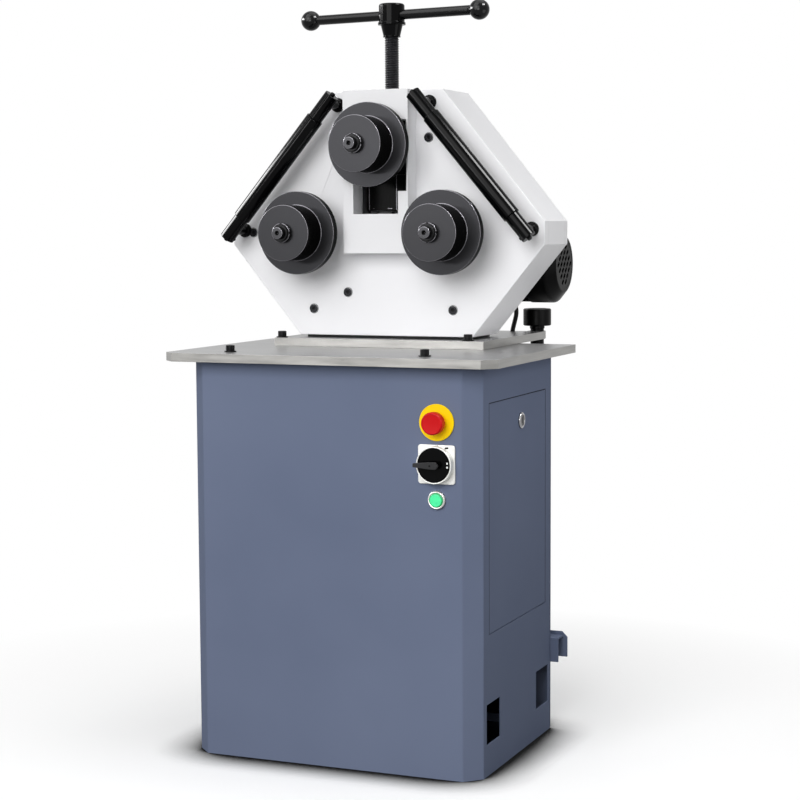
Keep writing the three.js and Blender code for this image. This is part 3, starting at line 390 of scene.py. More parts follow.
def add(tree, kind, settings=(), links=()):
    """Adds a shader node, sets its properties or sockets by name, and links sockets to
    (node, output) pairs."""
    node = tree.nodes.new(f"ShaderNode{kind}")
    for key, value in dict(settings).items():
        if isinstance(key, str) and hasattr(node, key):
            setattr(node, key, value)
        else:
            node.inputs[key].default_value = value
    for key, (source, output) in dict(links).items():
        tree.links.new(source.outputs[output], node.inputs[key])
    return node


def cleared(owner):
    """The node tree of a new material or world, with nothing in it yet."""
    owner.use_nodes = True
    owner.node_tree.nodes.clear()
    return owner.node_tree


SCRATCH_SIZE = 14 * MM


def finish(name, dark, light, smooth, rough, cloud, grain, relief, metallic=0.0, specular=0.5,
           glow=0.0, run=(1, 1, 1), about=None, scratch=0.0):
    """A surface finish: its darker and lighter colour, mixed by clouds of a size, its lowest and
    highest roughness, and the size and height of its grain. run stretches the grain along an axis,
    and the clouds by its square root. about is (point, axis) of a turned piece, whose grain runs
    in rings. scratch is the share of its relief that handling marks take."""
    material = bpy.data.materials.new(name)
    tree = cleared(material)
    here = {"Vector": (add(tree, "TexCoord"), "Object")}
    drawn = add(tree, "Mapping", {"Scale": tuple(1 / math.sqrt(share) for share in run)}, here)
    clouds = add(tree, "TexNoise", {"Scale": 1 / (cloud * MM), "Detail": 3.0},
                 {"Vector": (drawn, "Vector")})
    if about is None:
        laid, detail = add(tree, "Mapping", {"Scale": tuple(1 / share for share in run)}, here), 4.0
    else:
        point, axis = about
        keep = tuple(0.0 if share else 1.0 for share in axis)
        centred = add(tree, "Mapping", {"Location": tuple(-np.array(point) * MM)}, here)
        flat = add(tree, "VectorMath", {"operation": "MULTIPLY", 1: keep}, {0: (centred, "Vector")})
        ring = add(tree, "VectorMath", {"operation": "LENGTH"}, {0: (flat, "Vector")})
        along = add(tree, "VectorMath", {"operation": "DOT_PRODUCT", 1: tuple(axis)},
                    {0: (centred, "Vector")})
        laid, detail = add(tree, "CombineXYZ", {}, {"X": (ring, "Value"), "Y": (along, "Value")}), 3.0
    texture = add(tree, "TexNoise", {"Scale": 1 / (grain * MM), "Detail": detail},
                  {"Vector": (laid, "Vector")})
    toned = add(tree, "Mix", {"data_type": "RGBA", 6: linear(dark), 7: linear(light)},
                {0: (clouds, "Fac")})
    blended = add(tree, "Math", {"operation": "MULTIPLY", 1: 0.5}, {0: (texture, "Fac")})
    varied = add(tree, "Math", {"operation": "MULTIPLY_ADD", 1: 0.5},
                 {0: (clouds, "Fac"), 2: (blended, 0)})
    worn = add(tree, "MapRange", {"From Min": 0.3, "From Max": 0.7, "To Min": smooth, "To Max": rough},
               {"Value": (varied, 0)})
    height = texture
    if scratch:
        marks = add(tree, "TexNoise", {"Scale": 1 / SCRATCH_SIZE, "Detail": 6.0, "Roughness": 0.7,
                                       "Distortion": 0.4}, here)
        height = add(tree, "Math", {"operation": "MULTIPLY_ADD", 1: scratch},
                     {0: (marks, "Fac"), 2: (texture, "Fac")})
    bump = add(tree, "Bump", {"Distance": relief * MM}, {"Height": (height, 0)})
    shader = add(tree, "BsdfPrincipled",
                 {"Metallic": metallic, "Specular IOR Level": specular, "Emission Color": linear(light),
                  "Emission Strength": glow},
                 {"Base Color": (toned, 2), "Roughness": (worn, "Result"), "Normal": (bump, "Normal")})
    add(tree, "OutputMaterial", {}, {"Surface": (shader, "BSDF")})
    return material


# Each finish gives its name, darker and lighter colour, lowest and highest roughness, the size of its
# clouds and of its grain, and the grain's height, in millimetres

# Powder coat: a fine pebbled skin with a soft satin sheen; its 0.3 mm grain is drawn at 1.4 mm to show
powder_coat = finish("powder_coated_sheet_steel", "#656f87", "#78829a", 0.42, 0.5, 320, 1.4, 0.03,
                     specular=0.004)
# White enamel: smooth sprayed paint with a faint orange peel of 5 mm
enamel = finish("white_sprayed_enamel", "#ececee", "#f0f0f2", 0.3, 0.38, 250, 5, 0.02, specular=0.01)
# Ground plate: raw steel with a fine lengthwise grind, cloudy where it was handled
ground_steel = finish("ground_raw_steel", "#6b6b6c", "#8c8c8c", 0.27, 0.41, 14, 0.9, 0.012, 0.9,
                      run=(60, 1, 1), scratch=0.15)
# Milled edges: brighter, drawn lengthwise, with cloudy marks
milled_edge = finish("milled_steel_edge", "#6b6a68", "#979693", 0.26, 0.42, 9, 1.2, 0.03, 0.8,
                     run=(60, 60, 1), scratch=0.15)
# Slideways: ground upright, dull with oil
slideway_steel = finish("ground_slideway_steel", "#4a4a4c", "#58585a", 0.3, 0.4, 35, 0.8, 0.01, 0.8,
                        run=(1, 1, 30))
# Front of the slide: the same grind, nearly black under its oil
slide_face = finish("oiled_slide_face", "#070707", "#0c0c0d", 0.22, 0.32, 40, 0.7, 0.01, specular=0.03,
                    run=(1, 1, 30))
# Black oxide: blued machine steel, near black with a faint oily gloss
black_oxide = finish("black_oxide_steel", "#0c0c0d", "#141415", 0.24, 0.34, 30, 1.0, 0.01, 0.4, 0.12)
# Lighter steel on rounded edges: partly worn clean, partly a painted highlight line
edge_wear_and_highlight = finish("edge_wear_and_painted_highlight", "#525155", "#68676b", 0.24, 0.34, 12, 0.8, 0.006, 0.9)
# Oxide worn thin on screw heads and on the spindle's thread, lighter partly from wear and partly as a
# painted sheen
oxide_wear_and_sheen = finish("oxide_wear_and_painted_sheen", "#19191b", "#29292c", 0.26, 0.4, 9, 0.7, 0.01, 0.7, 0.2)
# Gear steel: machined and lightly oiled
gear_steel = finish("machined_gear_steel", "#8d8d90", "#a0a0a2", 0.28, 0.4, 50, 0.8, 0.012, 0.95)
# Bearing bronze: turned, warm and slightly dull
bearing_bronze = finish("bearing_bronze", "#a27a44", "#b58d54", 0.3, 0.44, 40, 0.9, 0.012, 0.95)
# Stoved black paint on bar and tube: even and glossy, with narrow clear highlights
gloss_black = finish("stoved_gloss_black_paint", "#040405", "#070708", 0.09, 0.13, 70, 2.2, 0.006,
                     specular=0.06)
knob_black = finish("stoved_knob_paint", "#050506", "#09090a", 0.14, 0.2, 70, 2.2, 0.006, specular=0.14)
# Cast iron under paint: dull with a sandy skin of 2 mm
grey_casting = finish("painted_grey_casting", "#3f434b", "#4a4e57", 0.5, 0.62, 60, 2.2, 0.12,
                      specular=0.3)
black_casting = finish("black_painted_casting", "#060607", "#0a0a0b", 0.36, 0.48, 50, 1.8, 0.05,
                       specular=0.03)
# Pressed sheet under the same black paint, a little glossier
black_sheet = finish("black_painted_sheet", "#050506", "#090909", 0.28, 0.36, 60, 2.0, 0.01,
                     specular=0.04)
# Moulded plastics: even colour, soft sheen from a fine spark-eroded mould
moulded_black = finish("moulded_black_plastic", "#060606", "#0a0a0a", 0.3, 0.4, 40, 0.8, 0.015,
                       specular=0.07)
moulded_red = finish("moulded_red_plastic", "#cb1016", "#d6181b", 0.3, 0.38, 25, 0.8, 0.012, 0, 0.1)
silver_moulding = finish("silver_grey_moulding", "#e2e2de", "#ecece8", 0.3, 0.4, 30, 0.7, 0.012, 0.2)
lever_plastic = finish("worn_black_lever_plastic", "#29292b", "#333335", 0.45, 0.55, 14, 0.8, 0.02,
                       specular=0.1)
# Yellow lacquer on an aluminium disc, with a faint glow: painted light that keeps it clear in shade
yellow_disc = finish("yellow_aluminium_disc", "#f7cf00", "#fdd90a", 0.36, 0.46, 25, 0.7, 0.01,
                     specular=0.08, glow=0.1)
# White print on the dial
white_mark = finish("printed_white_mark", "#e9e9e9", "#f4f4f4", 0.5, 0.6, 10, 0.6, 0.005)
# A lit lens: bright green in the middle; the deeper green on its rounded rim is painted shade
lit_green = finish("lit_green_lens", "#2cd483", "#4df0a6", 0.25, 0.32, 9, 0.9, 0.01, glow=0.25)
lens_rim_shade = finish("green_lens_rim_painted_shade", "#14a05a", "#22b56c", 0.25, 0.32, 9, 0.9, 0.01, glow=0.1)
# Chrome plate: mirror bright with the faintest haze, and a satin one on the start button's ring
chrome_plate = finish("chrome_plate", "#858587", "#98989a", 0.12, 0.2, 15, 0.7, 0.003, 1.0)
satin_chrome = finish("satin_chrome_ring", "#b4b2ae", "#c8c6c2", 0.34, 0.44, 12, 0.7, 0.006, 0.8)
# Brushed lock core: darker than its plated ring
lock_steel = finish("brushed_lock_steel", "#2e2e30", "#3e3e40", 0.28, 0.36, 8, 0.6, 0.006, 0.9)
# Dark navy and matt: painted shade, for the shadow line in the service panel's gap and the depth of the
# key slot
gap_painted_shade = finish("dark_navy_gap_shade", "#10131c", "#161a25", 0.7, 0.8, 30, 1.0, 0.03, specular=0.1)
# Dark navy painted shade on the cabinet's inner faces, seen through the vents
inside_painted_shade = finish("dark_navy_inside_shade", "#0d111b", "#131824", 0.5, 0.6, 120, 1.4, 0.02, specular=0.05)
# Cable sheath: matt black rubber
cable_rubber = finish("rubber_cable_sheath", "#0b0b0c", "#101011", 0.5, 0.65, 20, 0.7, 0.03, 0, 0.2)


def turned_black(name, about, dark="#232325", light="#2a2a2c"):
    """Blued steel faced on a lathe: dark grey, with tool rings half a millimetre apart."""
    return finish(name, dark, light, 0.3, 0.4, 45, 0.5, 0.006, 0.7, 0.15, about=about)


# Cabinet

SHEET_BEND = 3.0
TALL_FOLD = 500


def tall_fold(spot, heading, long):
    """Picks the cabinet's tall upright folds."""
    return heading[2] > ALONG and long > TALL_FOLD


eased_copy("cabinet_shell", "folded", [powder_coat], 0.5, SHEET_BEND, tall_fold,
           steps=4)
for node in ("service_panel", "panel_frame", "cable_hook"):
    eased_copy(node, "folded", [powder_coat], 0.6)
# the inner faces of the back and the floor take a dark navy that paints the shade inside the cabinet
for node, inward in (("back_panel", -Y), ("floor_pan", Z)):
    eased_copy(node, "folded", [powder_coat, inside_painted_shade], 0.6, second=facing(inward))
eased_copy("control_box", "moulded", [grey_casting], 1.5)


def paint_panel_gap_shade():
    """Dark strips of painted shade in the gap over the service panel, and thin ones down its sides."""
    low, high = span("service_panel")
    skin, thick, wide, thin, gap, proud = high[0], 1.6, 1.7, 0.8, 0.1, 0.15
    strips = [((low[1], high[2] + gap), (high[1], high[2] + wide)),
              ((low[1] - thin, low[2]), (low[1] - gap, high[2])),
              ((high[1] + gap, low[2]), (high[1] + thin, high[2]))]
    make("service_panel_shade_strips", "stand", [box((skin - thick, y0, z0), (skin + proud, y1, z1), 0.05)
                                         for (y0, z0), (y1, z1) in strips], [gap_painted_shade])


def panel_lock():
    """A cam lock: a domed ring round a sunk core with a key slot, and the cam behind the sheet."""
    high = span("panel_lock")[1]
    skin = span("service_panel")[1][0]
    ring, core, inner, sunk = 14.0, 8.6, 9.2, 0.9
    y, z = high[1] - ring, high[2] - ring
    face = high[0] - skin
    spot = (skin, y, z)
    rim = spun([(0, 0.3), (ring, 0.3, 0.3), (ring, face - 1.2, 1.6), (core + 2.4, face + 0.6, 1.4),
                (inner, face - 0.6, 0.4), (inner, face - 2.4, 0.2), (0, face - 2.4)],
               start=spot, toward=X, sides=64)
    cam_back, cam_front, cam_half, reach = 11, 8, 7, 36.0
    plug = rod(core, -cam_back, face - sunk, (0.3, 0.5), spot, X, 64)
    cam = box((skin - cam_back, y - reach, z - cam_half),
              (skin - cam_front, y + cam_half, z + cam_half), 0.6)
    make("panel_lock_plated", "lock_body", [rim, tinted(plug, 1), tinted(cam, 1)],
         [chrome_plate, lock_steel], ["panel_lock"])
    # the key slot is a dark block, painted shade in the keyhole
    slot_half, slot_long, under, over = 1.3, 5.2, 1.2, 0.8
    slot = box((skin + face - under, y - slot_half, z - slot_long),
               (skin + face - over, y + slot_half, z + slot_long), 0.1)
    make("panel_lock_key_slot", "lock_body", [slot], [gap_painted_shade])


paint_panel_gap_shade()
panel_lock()


# Controls on the front, measured from the cabinet's front wall

WALL = span("cabinet_shell")[0][1]


def control_spot(node):
    x, _, z = middle(node)
    return np.array([x, WALL, z])


def from_wall(node):
    """A node's front and back, measured from the wall."""
    low, high = span(node)
    return low[1] - WALL, high[1] - WALL


def emergency_stop():
    """A red mushroom head, a shallow dome inside a flat rim, over a yellow disc on its gasket."""
    front, back = from_wall("estop_button")
    spot = control_spot("estop_base")
    head, waist, stem, crown, inner = 18.5, 11.5, 8.0, 4.0, -10.5
    bore, nut, disc_edge, disc_back, disc_front, nut_back = stem + 0.4, 11, 30, -1.2, -3.3, 20
    disc = spun([(bore, nut_back), (nut, nut_back), (nut, disc_back), (disc_edge, disc_back, 0.2),
                 (disc_edge, disc_front, 0.5), (bore, disc_front)], start=spot, ring=True)
    gasket = spun([(nut + 0.1, -0.3), (29.8, -0.3, 0.3), (29.8, -1.15, 0.2), (nut + 0.1, -1.15)], 0.1,
                  spot, ring=True)
    make("estop_disc", "stand", [disc], [yellow_disc], ["estop_base"])
    make("estop_gasket", "stand", [gasket], [moulded_black])
    dish, step, rim = head * 0.78, head * 0.82, head * 0.84
    t = np.linspace(0, QUARTER, 9)
    dome = np.stack([dish * np.sin(t), front + 1.3 - 0.5 * np.sin(t) ** 2], axis=-1)
    rest, _ = filleted([(dish, front + 0.8), (step, front + 0.8, 0.2), (rim, front, 0.3),
                        (head - 1.6, front + 0.2, 1), (head, front + crown - 1.6, 1.6),
                        (head, inner - 1.5, 1.2), (head - 1.5, inner, 0.8), (waist, inner + 0.6, 0.3),
                        (waist - 0.6, inner + 1.4), (stem, inner + 1.8), (stem, back), (0, back)])
    make("estop_mushroom", "estop_body", [turned(np.vstack([dome, rest[1:]]), spot)], [moulded_red],
         ["estop_button"])


def selector_switch():
    """A rotary switch: a square plate, a glossy dished dial in a white collar, and a flat pointed
    lever on a post."""
    spot = control_spot("selector_plate")
    front, tail = from_wall("selector_dial")
    half, corner, proud = 32.0, 5.0, 4.0
    body = plate(rectangle(half, half, corner, 8), 0.3, proud, 1.2, spot, -Y)
    make("selector_plate_moulded", "stand", [body], [silver_moulding], ["selector_plate"])
    back, rim = -proud - 0.4, -16.4
    dished, dial_edge, collar_bore, collar_edge = 22.5, 28.2, 28.25, 30.4
    dial = spun([(0, back), (dial_edge, back), (dial_edge, rim, 0.5), (dished, rim, 2.5),
                 (0, rim + 2.6)], 0.5, spot)
    collar = spun([(collar_bore, back), (collar_edge, back), (collar_edge, rim - 0.6, 0.8),
                   (collar_bore, rim - 0.6, 0.8)], 0.4, spot, ring=True)
    left, right, tip, half_end, half_lever, post, thin = 33.0, 6.8, 4.0, 3.2, 5.9, 4.5, 4.6
    outline, _ = filleted([(-left, -half_end, 1.6), (-4, -half_lever, 5), (right, -half_lever, 2),
                           (right + tip, 0, 1.2), (right, half_lever, 2), (-4, half_lever, 5),
                           (-left, half_end, 1.6)], steps=6, closed=True)
    grip = plate(outline * (1, -1), -front - thin, -front, 1.0, spot, -Y, 4)
    stand_off = rod(post, rim + 5, front + thin - 1, (0.3, 0.3), spot)
    pin = rod(4, back - 1, tail, (0.3, 0.3), spot)
    make("selector_knob", "selector_body", [dial, tinted(collar, 1), tinted(grip, 2), stand_off, pin],
         [gloss_black, silver_moulding, lever_plastic], ["selector_dial"])
    screw = rod(1.6, front - 0.12, front + 0.3, (0.1, 0.05), spot + (-3.5, 0, 0), sides=24)
    make("selector_lever_screw", "selector_body", [screw], [moulded_black])
    from_x, to_x, mark_half = spot[0] + 22.2, spot[0] + 24.8, 1.6
    marks = [box((from_x, WALL + rim - 0.15, spot[2] + level - mark_half),
                 (to_x, WALL + rim + 0.3, spot[2] + level + mark_half), 0.1) for level in (-2.4, 4.0)]
    make("selector_marks", "selector_body", marks, [white_mark])
    dashes = [plate(rectangle(half_long, half_high, 0.9 * half_high, 4), proud - 0.2, proud + 0.12,
                    0.05, spot + (x, 0, z), -Y)
              for x, z, half_long, half_high in ((17.8, 27.2, 3.2, 1.4), (1.0, 30.4, 2.6, 0.5))]
    make("selector_plate_marks", "stand", dashes, [moulded_black])


def start_control():
    """A satin ring through the wall, and a flat green lens with a rounded rim in it."""
    spot = control_spot("button_bezel")
    front, back = from_wall("button_bezel")
    face, tail = from_wall("start_button")
    bore, thread, edge, lip, mouth = 4.4, 11, 15, 13.4, 11.9
    bezel = spun([(bore, back), (thread, back), (thread, -0.3), (edge, -0.3, 0.3),
                  (edge, front + 1.6, 1.2), (lip, front, 0.8), (mouth, front + 0.5, 0.4),
                  (mouth, front + 5), (bore, front + 5)], start=spot, ring=True)
    make("start_bezel", "stand", [bezel], [satin_chrome], ["button_bezel"])
    stem, radius, thick = 4, 11.5, 3.4
    # the lens's rounded rim takes the deeper green: painted shade
    lens = spun([(0, face), (radius, face, 2.4), (radius, face + thick, 0.3), (stem, face + thick),
                 (stem, tail), (0, tail)], 0.4, spot, bright=True)
    make("start_lens", "start_body", [lens], [lit_green, lens_rim_shade], ["start_button"])


emergency_stop()
selector_switch()
start_control()


# Table, base plate and their screws

def side_face(normal):
    return abs(normal[2]) < 0.5


for node in ("table_plate", "base_plate"):
    eased_copy(node, "ground", [ground_steel, milled_edge], 0.7, second=side_face)
# the spacer under the casing is blackened, its black painting the shadow gap there
eased_copy("head_spacer", "milled", [black_oxide], 0.8)


def hinge_rod():
    """The tilt hinge's rod, with a head on its right end."""
    low, high = span("hinge_rod")
    _, y, z = (low + high) / 2
    radius, head, head_long = 5, 7.5, 4
    bar = spun([(0, low[0]), (radius, low[0], 0.8), (radius, high[0] - head_long),
                (head, high[0] - head_long, 0.5), (head, high[0], 1), (0, high[0])],
               0.3, (0, y, z), X, 48)
    make("hinge_rod_turned", "stand", [bar], [gear_steel], ["hinge_rod"])


HEXAGON = 6
KNURL = 0.18


def socket_head(radius, high, socket, deep, start, toward, sides=72, worn=0):
    """A cap screw's head with a knurled rim and a hexagon socket. Rows run from the socket's floor
    out over the top and down the rim; the socket's rows swell to a hexagon, and the rim's by
    KNURL * cos of many turns. worn is the number of the material that the flat top takes."""
    angle = around(sides)
    share = math.pi / HEXAGON
    hexagon = math.cos(share) / np.cos(np.mod(angle + share, 2 * share) - share)
    ridges = 1 - KNURL / radius * (0.5 - 0.5 * np.cos(angle * sides / 3))
    even = np.ones(sides)
    rows = [(0, high - deep, even), (socket, high - deep, hexagon), (socket, high - 0.4, hexagon),
            (socket + 0.5, high, even), (radius - 1.0, high, even), (radius - 0.3, high - 0.3, even),
            (radius, high - 1.0, ridges), (radius, 0.8, ridges), (radius - 0.3, 0.2, even),
            (radius - 0.6, 0, even), (0, 0, even)]
    # the flat top ring takes material worn: oxide worn thin, partly a painted sheen
    top = [worn if row == 3 else 0 for row in range(len(rows))]
    return turned([row[:2] for row in rows], start, toward, sides,
                  np.array([row[2] for row in rows[1:-1]]), top)


def washer_screws():
    """The four cap screws with washers that hold the table and the head's base plate."""
    head, head_high, washer, thick, seat, shank = 7.6, 9.5, 10.4, 1.8, 0.3, 5.0
    for node in ("table_screw_left", "table_screw_right", "clamp_screw_left", "clamp_screw_right"):
        low, high = span(node)
        level = high[2] - head_high - thick - seat
        spot = np.array([*middle(node)[:2], level])
        disc = rod(washer, seat, seat + thick, (0.3, 0.5), spot, Z, 64)
        cap = socket_head(head, head_high, 4.2, 5.0, spot + (0, 0, seat + thick), Z)
        stem = rod(shank, low[2] - level, seat + 1, (0.8, 0.6), spot, Z, 40)
        make(f"{node}_blackened", "stand" if node.startswith("table") else "head", [disc, cap, stem],
             [black_oxide], [node])


def stop_screw():
    """A plain post with a round knob, slightly dished on top."""
    low, high = span("stop_screw")
    spot = (middle("stop_screw")[0], 362.0, 0)
    radius, knob_high, post, collar, dish = 26.0, 32.0, 12.6, 13.8, 17.0
    top, bottom = high[2], high[2] - knob_high
    knob = spun([(0, low[2]), (post, low[2], 1.2), (post, bottom - 6, 0.4), (collar, bottom - 5, 0.4),
                 (collar, bottom, 0.2), (radius, bottom, 2.6), (radius, top, 3.0), (dish + 1, top, 1.0),
                 (dish, top - 1, 0.6), (0, top - 1)], 0.6, spot, Z)
    make("stop_screw_moulded", "stop_screw_body", [knob], [moulded_black], ["stop_screw"])


hinge_rod()
washer_screws()
stop_screw()


# Head casing

FRONT_FACE = span("front_plate")[0][1]
REAR_FACE = span("rear_plate")[1][1]
OUTLINE_EDGE = 70


def outer_rim(level):
    """Picks the long edges round a casing plate's outline, on its outer face."""
    return lambda spot, heading, long: abs(spot[1] - level) < 0.5 and long > OUTLINE_EDGE


def cover_corner(spot, heading, long):
    return heading[1] > ALONG and long > 60


for node, level in (("front_plate", FRONT_FACE), ("rear_plate", REAR_FACE)):
    eased_copy(node, "enamelled", [enamel], 0.25, 1.6, outer_rim(level), steps=4)
eased_copy("side_cover", "enamelled", [enamel], 0.25, 0.8, cover_corner)
eased_copy("centre_cover", "enamelled", [enamel], 0.9, steps=4)


def casing_screws():
    """Blackened cap screws on the casing's front, each in a thin black ring that paints the shade of its
    counterbore.
    """
    spots = {"top_right": (84.6, 1055.0), "middle_left": (-70.2, 787.0), "low_left": (-136.9, 757.5),
             "low_right": (128.6, 757.3), "by_bar_left": (-255.9, 892.8), "by_bar_right": (255.9, 892.8)}
    inner, outer, seated, proud = 7.9, 8.6, 0.2, -0.5
    for name, (x, z) in spots.items():
        spot = np.array([x, FRONT_FACE, z])
        # a thin black ring round each head paints the shade of its counterbore
        ring = spun([(inner, seated), (outer, seated), (outer, proud, 0.3), (inner, proud, 0.3)], 0.1,
                    spot, sides=64, ring=True)
        head = socket_head(7.5, 2.4, 3.4, 2.0, spot, -Y, worn=1)
        make(f"casing_screw_{name}", "head", [ring, head], [black_oxide, oxide_wear_and_sheen])


casing_screws()
for node in ("left_slideway", "right_slideway"):
    eased_copy(node, "milled", [slideway_steel], 0.8)


# Rollers and their shafts

DISC_PAST = 4.0  # how far a disc stands behind its solid's, over the shaft's collar


def forming_roller(node, body):
    """A forming roller with its side disc and a groove that parts the disc's rim. Its rounded edges take
    lighter steel, partly worn and partly a painted highlight; its tread and rims are near black as a
    painted dark reflection, and the disc's face is a little darker as painted shade.
    """
    spot, front, back = turned_place(node)
    bore, radius, disc, thick, depth = 15.3, 48.0, 72.0, 12.0, 3.0
    step, groove_front, groove_back = back - thick, back - 5.5, back - 3.5
    back += DISC_PAST
    corners = [(bore, front, 0), (radius, front, 0.7), (radius, step, 1.0), (disc, step, 0.6),
               (disc, groove_front, 0.2), (disc - depth, groove_front, 0), (disc - depth, groove_back, 0),
               (disc, groove_back, 0.2), (disc, back, 0.8), (bore, back, 0)]
    profile, curved = filleted(corners, steps=5, closed=True)
    reach, level = profile[:, 0], profile[:, 1]
    along = np.abs(np.roll(reach, -1) - reach) < 0.3
    # the front rim and the fillet at the disc's junction take lighter steel: partly wear, partly a
    # painted highlight
    wear_and_highlight_rows = curved & ((level < front + 1) | ((reach > radius - 0.5) & (level < step + 1)
                                              & (level > step - 1.2)))
    # the disc's front face takes a slightly darker tone: painted shade of the tread
    side = ~along & ~curved & (reach > radius - 2) & (level < groove_front + 1)
    number = np.select([wear_and_highlight_rows, along, side], [1, 2, 3], 0)
    about = (spot, Y)
    faced = turned_black(f"{node}_faced_steel", about)
    disc_face_shade = turned_black(f"{node}_disc_face_painted_shade", about, "#212123", "#272729")
    # tread, rims and bore: near black with almost no gloss, a painted dark reflection
    tread_dark_reflection = finish(f"{node}_tread_painted_dark_reflection", "#050505", "#080808", 0.14, 0.2, 40, 0.6, 0.004,
                      specular=0.02, about=about)
    make(f"{node}_turned", body, [turned(profile, spot, sides=128, tint=number)],
         [faced, edge_wear_and_highlight, tread_dark_reflection, disc_face_shade], [node])


def roller_shaft(node, body):
    """The shaft in one profile: a chamfered tip with its centre hole, the roller's seat, a collar
    and the journal."""
    spot, front, back = turned_place(node)
    hole, tip, seat, collar, shoulder, collar_front = 3.2, 10, 15, 25, -72, -11.7
    lift = 1.2 if node == "top_shaft" else 0
    collar_back = FRONT_FACE + lift - 0.4
    corners = [(0, front + 8, 0), (hole, front + 5, 0), (hole, front + 0.8, 0), (4, front, 0.2),
               (tip, front, 0.8), (tip, shoulder, 0.5), (seat, shoulder, 0.6), (seat, collar_front, 0.3),
               (collar, collar_front, 0.8), (collar, collar_back, 0.8), (seat, collar_back, 0.3),
               (seat, back, 1.2), (0, back, 0)]
    profile, curved = filleted(corners)
    reach, level = profile[:, 0], profile[:, 1]
    face = (level < front + 0.1) & (reach > 3.9) & ~curved
    # the tip's rounded rim takes the lighter edge steel: partly wear, partly a painted highlight
    wear_and_highlight_rows = curved & (level < front + 2) & (reach > tip / 2)
    tip_steel = turned_black(f"{node}_turned_steel", (spot, Y), "#2c2c2e", "#363638")
    make(f"{node}_turned", body,
         [turned(profile, spot, sides=72, tint=np.select([face, wear_and_highlight_rows], [0, 2], 1))],
         [tip_steel, black_oxide, edge_wear_and_highlight], [node])


def roller_nut(node, body):
    """A round nut with four spanner notches and a thinner ring in front of it."""
    spot, front, back = turned_place(node)
    bore, radius, ring, thin, sides = 10.3, 16.75, 14.0, 4.0, 96
    notches, notch_half, notch_deep = 4, 0.045, 0.1
    corners = [(bore, back, 0), (radius, back, 0.5), (radius, front + thin, 0.8),
               (ring, front + thin, 0.3), (ring, front, 0.6), (bore, front, 0.3)]
    profile, curved = filleted(corners, closed=True)
    notch = np.abs(np.mod(around(sides) * notches / FULL_TURN + 0.5, 1) - 0.5) < notch_half
    swell = 1 - notch_deep * (profile[:, :1] > radius - 0.6) * notch[None]
    # the nut's rounded outer edges take the lighter edge steel: partly wear, partly a painted highlight
    wear_and_highlight_rows = curved & (profile[:, 0] > radius - 1) & (profile[:, 1] < back - 2)
    steel = turned_black(f"{node}_turned_steel", (spot, Y), "#151516", "#1b1b1c")
    make(f"{node}_turned", body, [turned(profile, spot, Y, sides, swell, wear_and_highlight_rows.astype(int))],
         [steel, edge_wear_and_highlight], [node])


for side in ("left", "right", "top"):
    riding = f"{side}_roller_body"
    forming_roller(f"{side}_roller", riding)
    roller_shaft(f"{side}_shaft", riding)
    roller_nut(f"{side}_roller_nut", riding)

for node in ("left_gear", "right_gear", "drive_pinion", "slide_cap"):
    eased_copy(node, "machined", [gear_steel], 0.4)
for node in ("spindle_nut", "left_front_bearing", "left_rear_bearing", "right_front_bearing",
             "right_rear_bearing", "top_bearing"):
    eased_copy(node, "turned", [bearing_bronze], 0.4)
eased_copy("slide_block", "milled", [black_oxide, slide_face], 0.7, second=facing(-Y))


def slide_strips():
    """Strips of lighter steel on the lower front of the slide, a hair proud of it, painting the
    highlights on its edges: two upright and two lying.
    """
    top, bottom = middle("top_shaft")[2] - 50, span("slide_block")[0][2]
    level = FRONT_FACE + 20.2
    strips = [(x, x + 1.2, bottom + 1, top) for x in (-37.6, 14.8)]
    strips += [(x, x + wide, bottom + 3, bottom + 4.2) for x, wide in ((-30, 3), (-2, 9))]
    make("slide_painted_highlight_strips", frame["nodes"]["slide_block"]["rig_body"],
         [box((x0, level, z0), (x1, level + 2, z1), 0.2) for x0, x1, z0, z1 in strips],
         [edge_wear_and_highlight])


slide_strips()


# Spindle and its cross bar

def spindle():
    """The hand screw in one surface: collar, V thread, cone and hub. In the thread the radius is
    the outer radius less the depth times a triangle wave of (height / pitch - angle / full turn)."""
    low, high = span("spindle")
    radius, pitch, depth, sides, rows_per_pitch = 12.85, 4.0, 1.6, 64, 10
    core, collar, collar_high = radius - depth, 16.0, 11.5
    cone_low, cone_top, hub, cap = 15.5, 19.25, 24.25, 22.65
    hub_from, cone_from = high[2] - 37.0, high[2] - 58.0
    collar_top = low[2] + collar_high
    thread_from, lip_top = collar_top + 2, hub_from + 4.5
    start, _ = filleted([(0, low[2]), (collar, low[2], 1), (collar, collar_top, 1),
                         (core, collar_top, 0.3), (core, thread_from)])
    heights = np.arange(thread_from + 0.5, cone_from - 0.5, pitch / rows_per_pitch)
    screw = np.stack([np.full(len(heights), radius), heights], axis=-1)
    ending, _ = filleted([(core, cone_from - 0.3), (cone_low, cone_from, 0.5),
                          (cone_low, cone_from + 1.6, 0.5), (cone_low - 0.8, cone_from + 2, 0.3),
                          (cone_top, hub_from, 0.4), (hub, hub_from, 0.8), (hub, lip_top, 0.8),
                          (cap, lip_top + 0.6, 0.6), (cap, high[2], 4), (0, high[2])])
    profile = np.vstack([start, screw, ending])
    # the thread takes the lighter worn oxide: partly wear, partly a painted sheen
    threaded = (profile[:, 0] == radius) & (profile[:, 1] > thread_from)
    phase = np.mod(profile[1:-1, 1:2] / pitch - around(sides)[None] / FULL_TURN, 1)
    wave = 1 - np.abs(2 * phase - 1)
    swell = 1 - threaded[1:-1, None] * np.clip(depth * 1.15 * wave, 0, depth) / radius
    spot = np.array([0, middle("spindle")[1], 0])
    make("spindle_threaded", "spindle_body",
         [turned(profile, spot, Z, sides, swell, threaded.astype(int))], [gloss_black, oxide_wear_and_sheen],
         ["spindle"])


